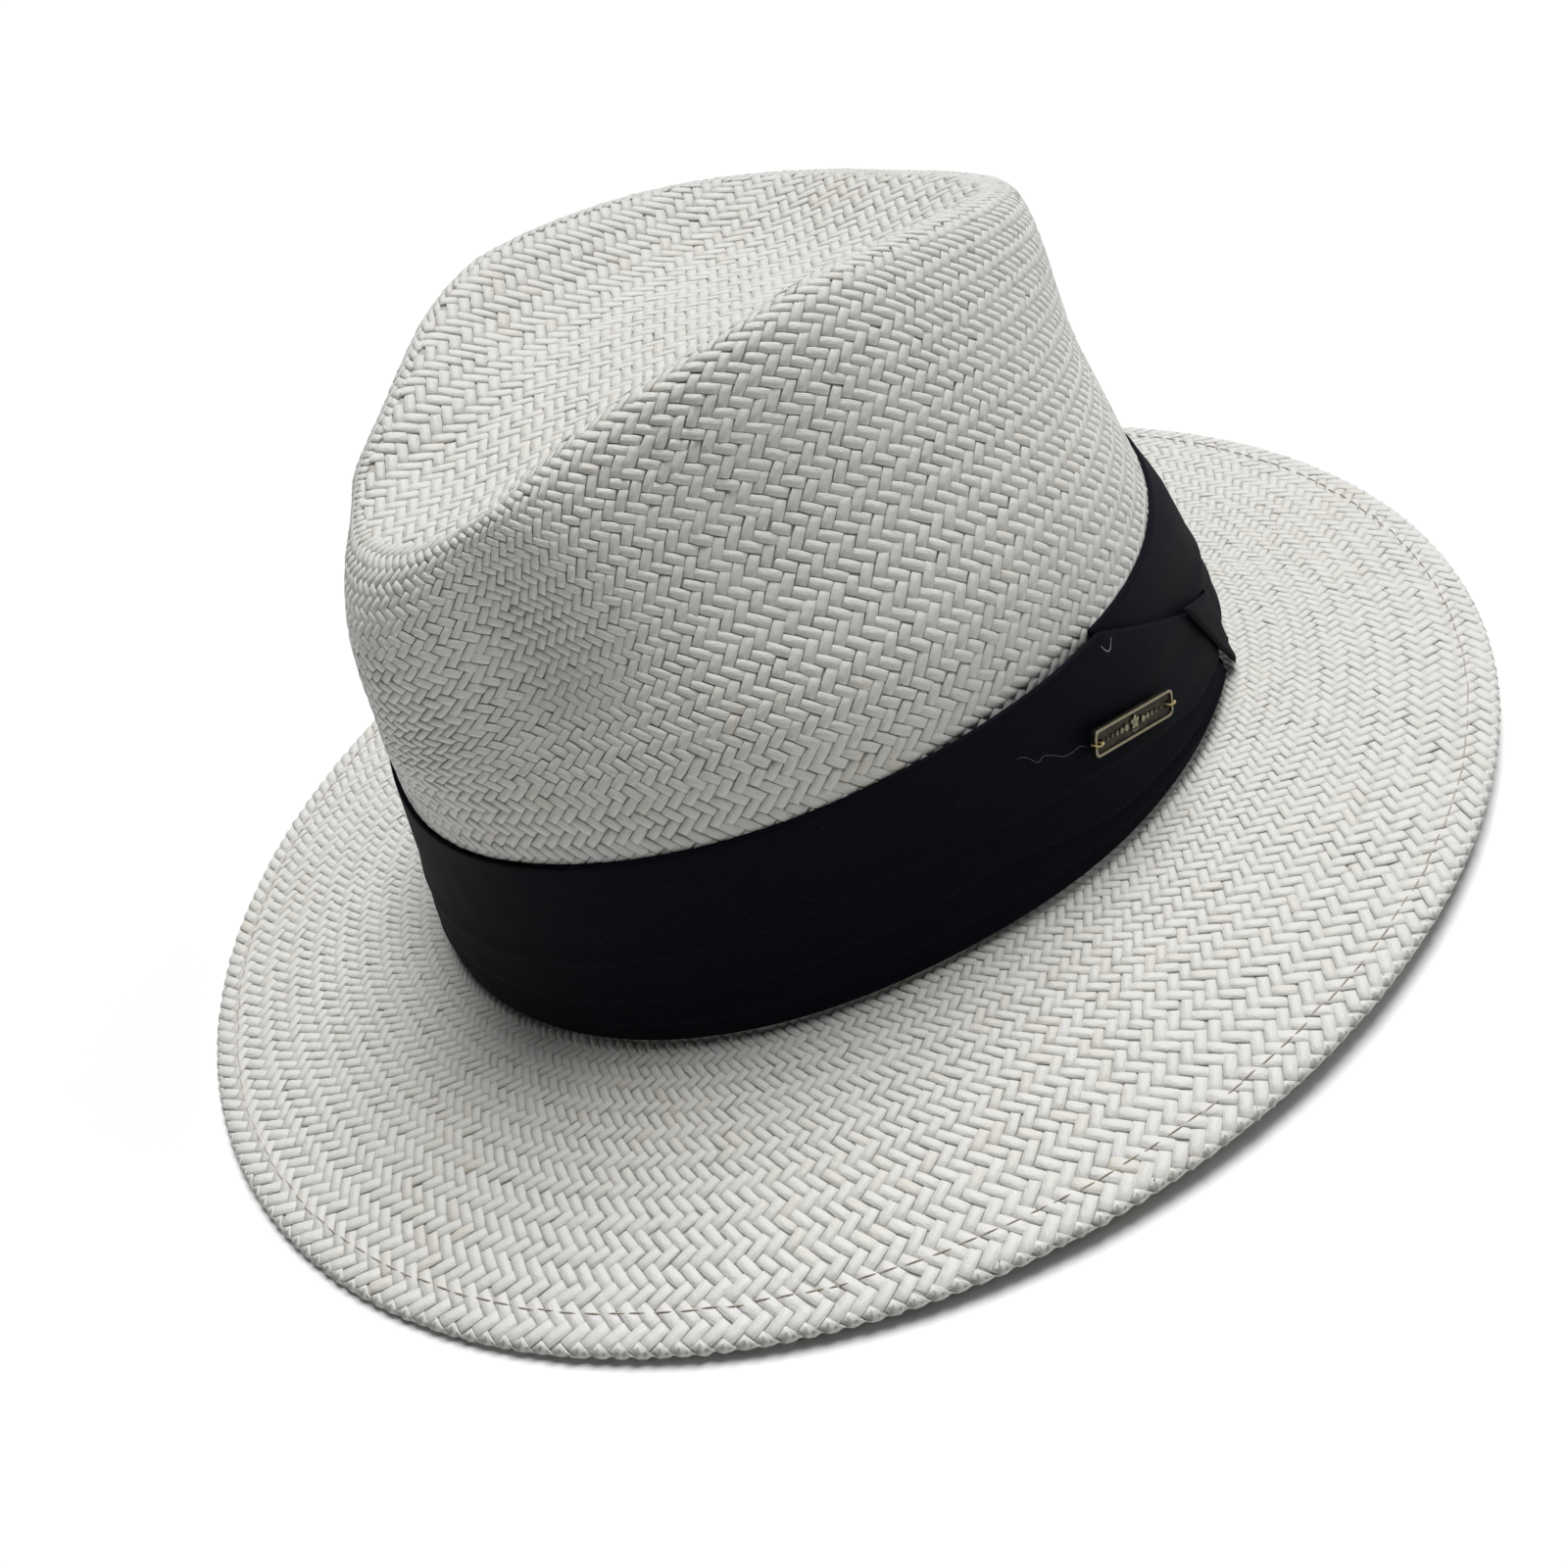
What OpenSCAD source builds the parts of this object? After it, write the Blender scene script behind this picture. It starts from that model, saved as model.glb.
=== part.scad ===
// Panama hat: woven straw body with a pinched crown, pleated cloth band,
// metal badge, wired hem and inner sweatband.
// Units are millimetres, +Z up, the front of the hat faces -Y.
// Origin: centre of the hat on the surface it rests on.

/* [Crown] */
// outside length of the crown where it meets the brim
crown_length = 203; // [180:1:230]
// outside width of the crown where it meets the brim
crown_width = 172.4; // [150:0.2:200]
// height of the highest point of the crown ridge above the brim
ridge_height = 125; // [95:1:145]
// height of the ridge at the front tip
ridge_front_height = 107; // [85:1:130]
// height of the ridge at the back
ridge_back_height = 110; // [85:1:130]
// reach of the ridge forward of the crown centre
ridge_front_reach = 90.5; // [75:0.5:98]
// reach of the ridge behind the crown centre
ridge_back_reach = 70; // [55:1:90]
// half width of the ridge at its widest
ridge_half_width = 50; // [35:1:62]
// how far the two front pinches draw the ridge in
ridge_pinch = 9; // [0:0.5:16]
// depth of the centre dent below the ridge
dent_depth = 14; // [6:1:30]
// depth of each front pinch
pinch_depth = 7.5; // [0:0.5:14]
// depth of the long hollow under each side ridge
side_hollow = 7; // [0:0.5:14]
// swelling of the side wall under that hollow
side_swell = 3.2; // [0:0.2:6]
// forward swelling of the front between the pinches
nose_swell = 8; // [0:0.5:10]
// inward lean of the wall per 22 mm of height
wall_lean = 2.7; // [1:0.1:5]
// additional lean of the back wall at mid height
back_lean = 7; // [0:0.5:12]

/* [Brim] */
// mean width of the brim
brim_width = 61; // [40:1:90]
// additional brim width at the front, taken off at the back
brim_front_extra = 2.3; // [0:0.1:8]
// mean drop of the brim edge below the crown base
brim_drop = 7.8; // [0:0.2:20]
// extra drop of the edge at front and back, taken off at the sides
brim_wave = 1.8; // [0:0.1:6]
// rise of the crown base at the front, taken off at the back
base_tilt = 2.9; // [0:0.1:6]
// rise of the crown base at the sides, taken off at front and back
base_wave = 1.9; // [0:0.1:6]
// width of the turned-under edge
hem_width = 7.5; // [5:0.5:14]

/* [Material] */
// thickness of the woven straw
straw_thickness = 1.1; // [0.8:0.1:2]
// diameter of the wire held in the turned edge
wire_diameter = 0.9; // [0.6:0.1:1.6]
// diameter of the sewing thread
thread_diameter = 0.7; // [0.3:0.05:1]

/* [Band] */
// height of the cloth band
band_height = 42.5; // [25:0.5:60]
// thickness of one layer of the cloth band
band_thickness = 1.3; // [0.8:0.1:2.5]
// depth of the step at each pleat
pleat_step = 0.5; // [0.2:0.1:1.2]
// angle from the front where the under end of the band starts
band_start = 92.5; // [74:0.5:100]
// angle from the front where the outer end of the band stops
band_stop = 121; // [112:1:140]
// angle from the front of the upper front corner of the keeper
keeper_start = 110.5; // [105:0.5:118]
// angle from the front of the rear edge of the keeper
keeper_stop = 128; // [122:1:140]
// height of the keeper above the foot of the band
keeper_height = 27; // [18:0.5:36]

/* [Badge] */
// length of the badge plate
badge_length = 27.8; // [20:0.1:45]
// width of the badge plate
badge_width = 5.8; // [5:0.1:14]
// thickness of the badge plate
badge_thickness = 1.2; // [0.8:0.1:2]
// angle from the front where the badge sits
badge_angle = 92; // [60:0.1:110]
// height of the badge centre above the brim
badge_height = 26; // [12:0.5:34]
// downward tilt of the badge toward the back
badge_tilt = 18; // [0:1:40]
// distance between the two sewing holes of the badge
badge_hole_pitch = 23.8; // [14:0.2:40]
// diameter of the sewing holes of the badge
badge_hole_diameter = 1.5; // [1:0.1:3]

/* [Inside] */
// height of the sweatband
sweatband_height = 32; // [20:1:45]
// thickness of the sweatband
sweatband_thickness = 0.9; // [0.6:0.1:1.6]
// width of the label at the back of the sweatband
label_width = 26; // [15:1:40]
// height of the label
label_height = 16; // [10:1:24]

/* [Hidden] */
half_length = crown_length / 2;
half_width = crown_width / 2;
fold_gap = wire_diameter + 0.1;
fold_radius = straw_thickness + fold_gap / 2;
lift = brim_drop + brim_wave + 2 * fold_radius;
// share of the brim's curve parameter that the turned-under edge and its stitches take
hem_u = (hem_width - fold_radius) / (0.3 * brim_width);
stitch_u = 0.85 * hem_u;
columns = 72;
step = 360 / columns;
// lean of the wall under the badge, and the sizes of the loose and sewing threads
wall_slope = 5;
loose_radius = 0.18;
loop_thread = 0.45;
loop_radius = 1;
keeper_thickness = 0.9;
// width of the raised rim of the badge and depth of its floor
badge_rim = 0.7;
badge_corner = 1.4;
badge_floor = 0.4;
ridge_peak_y = -12;
dent_end_depth = 2.5;
pole_y = -10;

function ease(x, a, b) = let (t = max(0, min(1, (x - a) / (b - a)))) t * t * (3 - 2 * t);
function bump(x, centre, width) = exp(-pow((x - centre) / width, 2));
function mirror_angle(a) = let (r = a % 360) r > 180 ? 360 - r : r;
function blend(a, b, k) = a + (b - a) * k;
function unit(v) = v / norm(v);

// outline of the crown base and its outward direction
function base_point(a) = [half_width * sin(a), -half_length * cos(a), 0];
function base_out(a) = unit([sin(a) / half_width, -cos(a) / half_length, 0]);
function base_rise(a) = base_tilt * cos(a) - base_wave * cos(2 * a);
function edge_height(a) = -brim_drop - brim_wave * cos(2 * a);
function brim_reach(a) = brim_width + brim_front_extra * cos(a) - fold_radius;
function offset_point(a, inward, z) = base_point(a) - base_out(a) * inward + [0, 0, z];

// ridge line around the top of the crown
function ridge_square(m) = m > 90 ? 0.16 * pow(sin(2 * m), 2) : 0;
function ridge_x(a, m) = sign(sin(a)) * (ridge_half_width * abs(sin(a)) * (1 + ridge_square(m))
    - ridge_pinch * bump(m, 50, 20) * (1 - bump(m, 0, 12)));
function ridge_y(a, m) = cos(a) > 0 ? -ridge_front_reach * cos(a)
    : -ridge_back_reach * cos(a) * (1 + ridge_square(m));
function ridge_z(y) = y < ridge_peak_y
    ? ridge_height - (ridge_height - ridge_front_height)
        * pow(min(1, (ridge_peak_y - y) / (ridge_front_reach + ridge_peak_y)), 1.6)
    : ridge_height - (ridge_height - ridge_back_height)
        * pow(min(1, (y - ridge_peak_y) / (ridge_back_reach - ridge_peak_y)), 1.5);

// floor of the centre dent along the length of the hat
function dent_z(y) = ridge_z(y) - blend(dent_end_depth, dent_depth, ease(y, -100, -5));

// control points of one profile, from the brim edge to the crown centre
function profile(a) =
    let (
        m = mirror_angle(a), reach = brim_reach(a), rise = base_rise(a), edge = edge_height(a),
        back = ease(m, 95, 140), nose = nose_swell * bump(m, 0, 18),
        pinch = pinch_depth * bump(m, 24, 12), hollow = side_hollow * bump(m, 66, 24),
        swell = side_swell * bump(m, 58, 26),
        rx = ridge_x(a, m), ry = ridge_y(a, m), rz = ridge_z(ry),
        ridge = [rx, ry, 0], wall = offset_point(a, 12, 0), out = base_out(a),
        middle = [0, pole_y, 0]
    ) [
        offset_point(a, -reach, edge),
        offset_point(a, -0.70 * reach, blend(rise, edge, 0.66)),
        offset_point(a, -0.38 * reach, blend(rise, edge, 0.34)),
        offset_point(a, -0.14 * reach, blend(rise, edge, 0.10)),
        offset_point(a, -3.2, rise - 0.1),
        offset_point(a, -0.2, rise + 0.8),
        offset_point(a, 0.7 + 0.4 * back, rise * 0.6 + 8),
        offset_point(a, wall_lean + 1.5 * back, 24),
        offset_point(a, 2 * wall_lean + 4.5 * back, 44),
        offset_point(a, 3.1 * wall_lean - swell + back_lean * back - nose * 0.8, 66),
        blend(wall, ridge, 0.20 + 0.012 * hollow)
            - out * (0.8 * pinch + 0.7 * back_lean * back - 1.2 * nose) + [0, 0, 0.70 * rz],
        blend(wall, ridge, 0.52 + 0.022 * hollow)
            - out * (pinch + 0.3 * back_lean * back - nose) + [0, 0, 0.87 * rz],
        blend(wall, ridge, 0.93) - out * 0.5 * pinch + [0, 0, rz - 1],
        blend(ridge, middle, 0.10) + [0, 0, rz + 1.5],
        blend(ridge, middle, 0.32) + [0, 0, blend(rz, dent_z(blend(ry, pole_y, 0.32)), 0.55)],
        blend(ridge, middle, 0.55) + [0, 0, dent_z(blend(ry, pole_y, 0.55))],
        blend(ridge, middle, 0.78) + [0, 0, dent_z(blend(ry, pole_y, 0.78))],
        middle + [0, 0, dent_z(pole_y)]
    ];

// smooth curve through a list of control points, u counts control points
function control(p, i) = i < 0 ? 2 * p[0] - p[1]
    : i >= len(p) ? 2 * p[len(p) - 1] - p[len(p) - 2] : p[i];
function curve(p, u) =
    let (i = min(floor(u), len(p) - 2), f = u - i)
    (control(p, i - 1) * pow(1 - f, 3) + control(p, i) * (3 * f * f * f - 6 * f * f + 4)
        + control(p, i + 1) * (-3 * f * f * f + 3 * f * f + 3 * f + 1)
        + control(p, i + 2) * f * f * f) / 6;

// outer surface of the straw and its outward direction
function skin(a, u) = curve(profile(a), u);
function skin_out(a, u) =
    let (p = profile(a), across = skin(a + 1, u) - skin(a - 1, u),
        along = curve(p, min(u + 0.02, 17)) - curve(p, max(u - 0.02, 0)))
    unit(cross(across, along));
// the straw skin a given distance in (-) or out (+)
function off_skin(a, u, d) = skin(a, u) + skin_out(a, u) * d;

// closed ring of sections: rows[column][point]
module ring_solid(rows) {
    n = len(rows);
    k = len(rows[0]);
    points = [for (r = rows, p = r) p];
    faces = [for (i = [0:n - 1], j = [0:k - 1])
        let (a = i * k + j, b = i * k + (j + 1) % k,
            c = ((i + 1) % n) * k + (j + 1) % k, d = ((i + 1) % n) * k + j)
        each [[a, b, c], [a, c, d]]];
    polyhedron(points, faces, convexity = 8);
}

// open strip of sections closed at both ends
module strip_solid(rows) {
    n = len(rows);
    k = len(rows[0]);
    points = [for (r = rows, p = r) p];
    sides = [for (i = [0:n - 2], j = [0:k - 1])
        let (a = i * k + j, b = i * k + (j + 1) % k,
            c = (i + 1) * k + (j + 1) % k, d = (i + 1) * k + j)
        each [[a, b, c], [a, c, d]]];
    start_cap = [[for (j = [k - 1:-1:0]) j]];
    end_cap = [[for (j = [0:k - 1]) (n - 1) * k + j]];
    polyhedron(points, concat(sides, start_cap, end_cap), convexity = 8);
}

// section of a round thread: centre, two directions across it, radius
function thread_section(centre, across, up, radius, sides = 6) =
    [for (s = [0:sides - 1]) centre + across * radius * cos(s * 360 / sides)
        + up * radius * sin(s * 360 / sides)];

module placed() {
    translate([0, brim_front_extra, lift]) children();
}

// ---- woven straw body with its turned and wired edge ----
hem_rows = [0, hem_u / 3, hem_u * 2 / 3, hem_u];
skin_rows = concat(hem_rows, [0.75, 1.15, 1.7, 2.4, 3, 3.5, 4, 4.35, 4.7, 5.05, 5.4, 5.8, 6.3],
    [for (u = [7:0.55:12.5]) u], [12.9, 13.35, 13.8, 14.4, 15, 15.7, 16.4]);

function fold_point(a, angle, radius) =
    let (edge = skin(a, 0)) edge + base_out(a) * radius * sin(angle)
        + [0, 0, radius * cos(angle) - fold_radius];
function under_layer(a, row, depth) = skin(a, hem_rows[row]) - [0, 0, depth];
function body_section(a) = concat(
    [for (r = [len(skin_rows) - 1:-1:0]) off_skin(a, skin_rows[r], 0)],
    [for (t = [45:45:135]) fold_point(a, t, fold_radius)],
    [for (r = [0:3]) under_layer(a, r, 2 * fold_radius - 0.25 * r)],
    [for (r = [3:-1:0]) under_layer(a, r, 2 * fold_radius - straw_thickness - 0.25 * r)],
    [fold_point(a, 90, fold_gap / 2)],
    [for (r = [0:len(skin_rows) - 1]) r < 1 ? under_layer(a, 0, straw_thickness)
        : off_skin(a, skin_rows[r], -straw_thickness)]);

module woven_body() {
    rows = [for (i = [0:columns - 1]) body_section(i * step)];
    n = len(rows);
    k = len(rows[0]);
    top = skin(0, 17);
    points = concat([for (r = rows, p = r) p], [top, top - [0, 0, straw_thickness]]);
    walls = [for (i = [0:n - 1], j = [0:k - 2])
        let (a = i * k + j, b = a + 1, d = ((i + 1) % n) * k + j, c = d + 1)
        each [[a, b, c], [a, c, d]]];
    caps = [for (i = [0:n - 1]) let (e = (i + 1) % n)
        each [[n * k, i * k, e * k], [n * k + 1, e * k + k - 1, i * k + k - 1]]];
    color("ivory") placed() polyhedron(points, concat(walls, caps), convexity = 8);
}

module brim_wire() {
    rows = [for (i = [0:columns - 1]) let (a = i * step)
        thread_section(fold_point(a, 90, 0), base_out(a), [0, 0, 1], wire_diameter / 2 - 0.02)];
    color("silver") placed() ring_solid(rows);
}

module hem_stitching() {
    r = thread_diameter / 2;
    rows = [for (i = [0:columns - 1]) let (a = i * step, up = skin_out(a, stitch_u))
        thread_section(skin(a, stitch_u) + up * (r + 0.05), base_out(a), up, r, 4)];
    color("tan") placed() ring_solid(rows);
}

// ---- fitting things to the wall of the crown ----
// curve parameter of the straw skin at height z on the lower wall
function wall_u(p, z, low = 4.4, high = 9.8, n = 12) = n == 0 ? (low + high) / 2
    : let (mid = (low + high) / 2) curve(p, mid)[2] < z
        ? wall_u(p, z, mid, high, n - 1) : wall_u(p, z, low, mid, n - 1);
// point at height z, a distance d outside (+) or inside (-) the straw skin
function wall_point(a, p, z, d) = let (q = curve(p, wall_u(p, z))) [q[0], q[1], z] + base_out(a) * d;

// ---- pleated cloth band, one strip that laps over its own start ----
band_clear = 0.15;
band_layer = band_thickness + pleat_step + band_clear;
function band_bottom(a) = base_rise(a) + 2.4;
// the outer end slopes straight down toward the keeper and its pleats gather there
function lap_end(a) = max(0, min(1, (a - 360 - band_start) / (band_stop - band_start)));
function band_top(a) = band_bottom(a) + band_height * (1 - 0.62 * lap_end(a));
function gather(a) = 1 - 0.6 * ease(a, 360 + 65, 360 + 112);
function lap(a) = band_clear + band_layer * ease(a, 360 + 56, 360 + band_start - 4);
function band_outer(a) = lap(a) + band_thickness + pleat_step;

// outer face of the band: height fraction and thickness down the three pleats
function pleat_outline(g) = let (w = band_thickness, s = pleat_step)
    concat([[1, w - 0.4], [0.97, w]],
        [for (k = [0.60, 0.38, 0.18]) each [[k * g + 0.04, w + s], [k * g + 0.01, w + s], [k * g, w]]],
        [[0.03, w], [0, w - 0.4]]);
function band_section(a) =
    let (p = profile(a), b = band_bottom(a), h = band_top(a) - b, e = lap(a),
        outline = pleat_outline(gather(a) * band_height / h))
    concat([for (k = [0:0.25:1]) wall_point(a, p, b + h * k, e)],
        [for (q = outline) wall_point(a, p, b + h * q[0], e + q[1])]);

module hat_band() {
    turns = 78;
    span = 360 + band_stop - 2.5 - band_start;
    color("midnightblue") placed()
        strip_solid([for (k = [0:turns]) band_section(band_start + span * k / turns)]);
}

// cloth keeper wrapped over the end of the band and down onto the layer under it
function keeper_angle(across, up) =
    blend(blend(band_stop + 0.5, keeper_stop, across), blend(keeper_start, keeper_stop, across), up);
function keeper_z(across, up) =
    blend(blend(2, 1, across), blend(1, 0.52, across) * keeper_height + 3, up);
function keeper_stand(across, up) =
    band_layer + 0.3 + 0.5 * bump(up, 0.05, 0.2) * (1 - across)
    + (band_layer - 0.1) * (1 - ease(keeper_angle(across, up), band_stop, keeper_stop - 1.5));
function keeper_point(across, up, d) =
    let (a = keeper_angle(across, up))
    wall_point(a, profile(a), base_rise(a) + keeper_z(across, up), keeper_stand(across, up) + d);
module band_keeper() {
    rises = [0:0.125:1];
    rows = [for (s = [0:0.125:1]) concat(
        [for (r = rises) keeper_point(s, r, 0)],
        [for (r = [1:-0.125:0]) keeper_point(s, r, keeper_thickness)])];
    color("midnightblue") placed() strip_solid(rows);
}

// ---- badge plate and its two sewing loops ----
module on_badge() {
    p = profile(badge_angle);
    out = base_out(badge_angle);
    wall = wall_point(badge_angle, p, badge_height, band_outer(360 + badge_angle) + 0.15);
    translate(wall) rotate([0, 0, atan2(out[1], out[0]) + 90]) rotate([90 - wall_slope, 0, 0])
        rotate([0, 0, -badge_tilt]) children();
}
module rounded_plate(length, width, corner, height) {
    for (x = [-1, 1], y = [-1, 1])
        translate([x * (length / 2 - corner), y * (width / 2 - corner), 0])
            cylinder(r = corner, h = height, $fn = 32);
    translate([corner - length / 2, -width / 2, 0]) cube([length - 2 * corner, width, height]);
    translate([-length / 2, corner - width / 2, 0]) cube([length, width - 2 * corner, height]);
}
// five petals, a centre and a stem with one leaf each side
module flower() {
    translate([0, 0.3, 0]) {
        for (k = [0:4]) rotate([0, 0, 90 + k * 72]) translate([0.8, 0, 0])
            cylinder(d = 1.2, h = 0.5, $fn = 24);
        cylinder(d = 1, h = 0.7, $fn = 24);
    }
    translate([-0.2, -1.9, 0]) cube([0.4, 2, 0.4]);
}
// plain row of round bosses, smaller toward the hole
module bosses() {
    for (k = [0:4]) translate([3 + 1.6 * k, 0, 0])
        cylinder(d = 1.45 - 0.14 * k, h = 0.4, $fn = 24);
}
module badge_plate() {
    floor_z = badge_thickness - badge_floor;
    color("darkgoldenrod") placed() on_badge() {
        difference() {
            rounded_plate(badge_length, badge_width, badge_corner, badge_thickness);
            translate([0, 0, floor_z])
                rounded_plate(badge_length - 2 * badge_rim, badge_width - 2 * badge_rim,
                    badge_corner - badge_rim, 1);
            for (x = [-1, 1]) translate([x * badge_hole_pitch / 2, 0, -1])
                cylinder(d = badge_hole_diameter, h = badge_thickness + 2, $fn = 24);
        }
        translate([0, 0, floor_z - 0.05]) {
            flower();
            bosses();
            mirror([1, 0, 0]) bosses();
        }
    }
}
module badge_loops() {
    leg = badge_thickness + 0.05;
    color("khaki") placed() on_badge() for (m = [0, 1]) mirror([m, 0, 0])
        translate([badge_hole_pitch / 2 + loop_radius, 0, 0]) {
            translate([0, 0, leg]) rotate([90, 0, 0]) rotate_extrude(angle = 180, $fn = 48)
                translate([loop_radius, 0]) circle(d = loop_thread, $fn = 16);
            for (x = [-1, 1]) translate([x * loop_radius, 0, 0.05])
                cylinder(d = loop_thread, h = leg - 0.05, $fn = 16);
        }
}

// loose ends of sewing thread lying on the band
function thread_path(points) = [for (i = [0:len(points) - 1])
    let (a = points[i][0], p = profile(a), here = wall_point(a, p, points[i][1], points[i][2]))
    thread_section(here, base_out(a), [0, 0, 1], loose_radius, 4)];
module badge_thread_end() {
    steps = 12;
    path = [for (k = [0:steps]) let (t = k / steps, a = 84.4 - 9.6 * t)
        [a, 29.8 + 7.6 * t + 0.7 * sin(k * 70), band_outer(360 + a) + 0.35 + 0.4 * abs(sin(k * 50))]];
    color("slategray") placed() strip_solid(thread_path(path));
}
module band_thread_end() {
    steps = 10;
    path = [for (k = [steps:-1:0]) let (t = k / steps, a = 91.2 + 1.8 * t)
        [a, 45.4 - 2.2 * sin(180 * t), band_outer(360 + a) + 0.4 + 0.4 * t]];
    color("white") placed() strip_solid(thread_path(path));
}

// ---- inside the crown ----
sweatband_clear = straw_thickness + 0.25;
function lining_point(a, p, z, d) = wall_point(a, p, base_rise(a) + z, -sweatband_clear - d);
module sweatband() {
    heights = [1.6, 2.2, sweatband_height / 2, sweatband_height - 0.4, sweatband_height];
    rows = [for (i = [0:columns - 1]) let (a = i * step, p = profile(a)) concat(
        [for (z = heights) lining_point(a, p, z, sweatband_thickness)],
        [for (k = [4:-1:0]) lining_point(a, p, heights[k], 0)])];
    color("dimgray") placed() ring_solid(rows);
}
module sweatband_stitching() {
    inside = sweatband_thickness + thread_diameter / 2 + 0.05;
    rows = [for (i = [0:columns - 1]) let (a = i * step)
        thread_section(lining_point(a, profile(a), 4.5, inside), base_out(a), [0, 0, 1],
            thread_diameter / 2, 4)];
    color("black") placed() ring_solid(rows);
}
module size_label() {
    half = label_width / 2 / (half_width * 3.1416 / 180);
    foot = 9;
    rows = [for (k = [-1:0.25:1]) let (a = 180 + half * k, p = profile(a), d = sweatband_thickness + 0.1) [
        lining_point(a, p, foot, d + 0.5), lining_point(a, p, foot + label_height, d + 0.5),
        lining_point(a, p, foot + label_height, d), lining_point(a, p, foot, d)]];
    color("whitesmoke") placed() strip_solid(rows);
}

woven_body();
brim_wire();
hem_stitching();
hat_band();
band_keeper();
badge_plate();
badge_loops();
badge_thread_end();
band_thread_end();
sweatband();
sweatband_stitching();
size_label();
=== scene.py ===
"""Panama hat: woven paper straw, a pleated cloth band with a metal badge, and a lined crown.

Lengths are in millimetres and angles in degrees until a mesh is made. Angle 0 is the front of
the hat (-Y) and angle 90 is the wearer's left (+X).
"""
import math

import bpy
import numpy as np
from mathutils import Matrix


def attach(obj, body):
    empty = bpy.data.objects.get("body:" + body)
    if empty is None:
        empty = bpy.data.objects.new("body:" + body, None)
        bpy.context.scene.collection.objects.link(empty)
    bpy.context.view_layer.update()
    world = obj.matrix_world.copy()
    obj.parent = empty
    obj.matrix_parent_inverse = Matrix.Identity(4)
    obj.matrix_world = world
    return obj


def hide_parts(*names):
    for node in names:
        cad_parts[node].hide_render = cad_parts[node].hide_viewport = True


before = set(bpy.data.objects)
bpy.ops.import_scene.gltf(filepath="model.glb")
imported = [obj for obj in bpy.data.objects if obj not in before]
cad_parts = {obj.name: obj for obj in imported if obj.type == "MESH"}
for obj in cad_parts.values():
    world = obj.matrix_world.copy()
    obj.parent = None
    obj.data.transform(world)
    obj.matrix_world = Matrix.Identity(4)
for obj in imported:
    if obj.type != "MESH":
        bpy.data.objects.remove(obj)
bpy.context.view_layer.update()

MM = 0.001

# ---- driving dimensions, the same as the CAD part's ----
CROWN_LENGTH, CROWN_WIDTH = 203.0, 172.4
RIDGE_HEIGHT, RIDGE_FRONT_HEIGHT, RIDGE_BACK_HEIGHT = 125.0, 107.0, 110.0
RIDGE_FRONT_REACH, RIDGE_BACK_REACH, RIDGE_HALF_WIDTH, RIDGE_PINCH = 90.5, 70.0, 50.0, 9.0
RIDGE_PEAK_Y = -12.0
DENT_DEPTH, DENT_END_DEPTH, POLE_Y = 14.0, 2.5, -10.0
PINCH_DEPTH, SIDE_HOLLOW, SIDE_SWELL, NOSE_SWELL = 7.5, 7.0, 3.2, 8.0
WALL_LEAN, BACK_LEAN = 2.7, 7.0
BRIM_WIDTH, BRIM_FRONT_EXTRA, BRIM_DROP, BRIM_WAVE = 61.0, 2.3, 7.8, 1.8
BASE_TILT, BASE_WAVE = 2.9, 1.9
STRAW, WIRE, THREAD = 1.1, 0.9, 0.7
BAND_HEIGHT, BAND_THICKNESS, PLEAT_STEP, BAND_CLEAR = 42.5, 1.3, 0.5, 0.15
BAND_START, BAND_STOP = 92.5, 121.0
KEEPER_START, KEEPER_STOP, KEEPER_HEIGHT = 110.5, 128.0, 27.0
BADGE_LENGTH, BADGE_WIDTH, BADGE_THICKNESS = 27.8, 5.8, 1.2
BADGE_ANGLE, BADGE_HEIGHT, BADGE_TILT = 92.0, 26.0, 18.0
BADGE_HOLE_PITCH, BADGE_HOLE = 23.8, 1.5
BADGE_RIM, BADGE_CORNER, BADGE_FLOOR = 0.65, 1.4, 0.42
LOOP_RADIUS, LOOP_THREAD, LOOSE_RADIUS = 1.0, 0.45, 0.10
SWEATBAND_HEIGHT, SWEATBAND_THICKNESS = 32.0, 0.9
LABEL_WIDTH, LABEL_HEIGHT, LABEL_FOOT = 26.0, 16.0, 9.0
LINING_GAP, LINING_RADIUS = 0.25, 92.0

HALF_LENGTH, HALF_WIDTH = CROWN_LENGTH / 2, CROWN_WIDTH / 2
FOLD_GAP = WIRE + 0.1
FOLD_RADIUS = STRAW + FOLD_GAP / 2
LIFT = BRIM_DROP + BRIM_WAVE + 2 * FOLD_RADIUS
CENTRE = np.array([0.0, BRIM_FRONT_EXTRA, LIFT])
WALL_SLOPE = 5.0
UP = np.array([0.0, 0.0, 1.0])
BAND_LAYER = BAND_THICKNESS + PLEAT_STEP + BAND_CLEAR
HEM_WIDTH = 7.5
HEM_U = (HEM_WIDTH - FOLD_RADIUS) / (0.3 * BRIM_WIDTH)
STITCH_U = 0.85 * HEM_U
HEM_SQUEEZE = 0.75

# ---- weave ----
BRIM_STRANDS = 252
CROWN_STRANDS = 176
TIP_PITCH = 3.15
BRIM_END_U, CROWN_START_U, TIP_START_U = 4.8, 7.75, 12.95
MOST_FACES = 90000
CORE_DEPTH = 0.34
SKIN_COLUMNS = 1440
LAST_U = 16.97
JOIN_GAP = 0.18
# shares of the floats that fall short and leave a pinhole, and that have a crease across them
SHORT_SHARE, CREASED_SHARE = 0.02, 0.14

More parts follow.
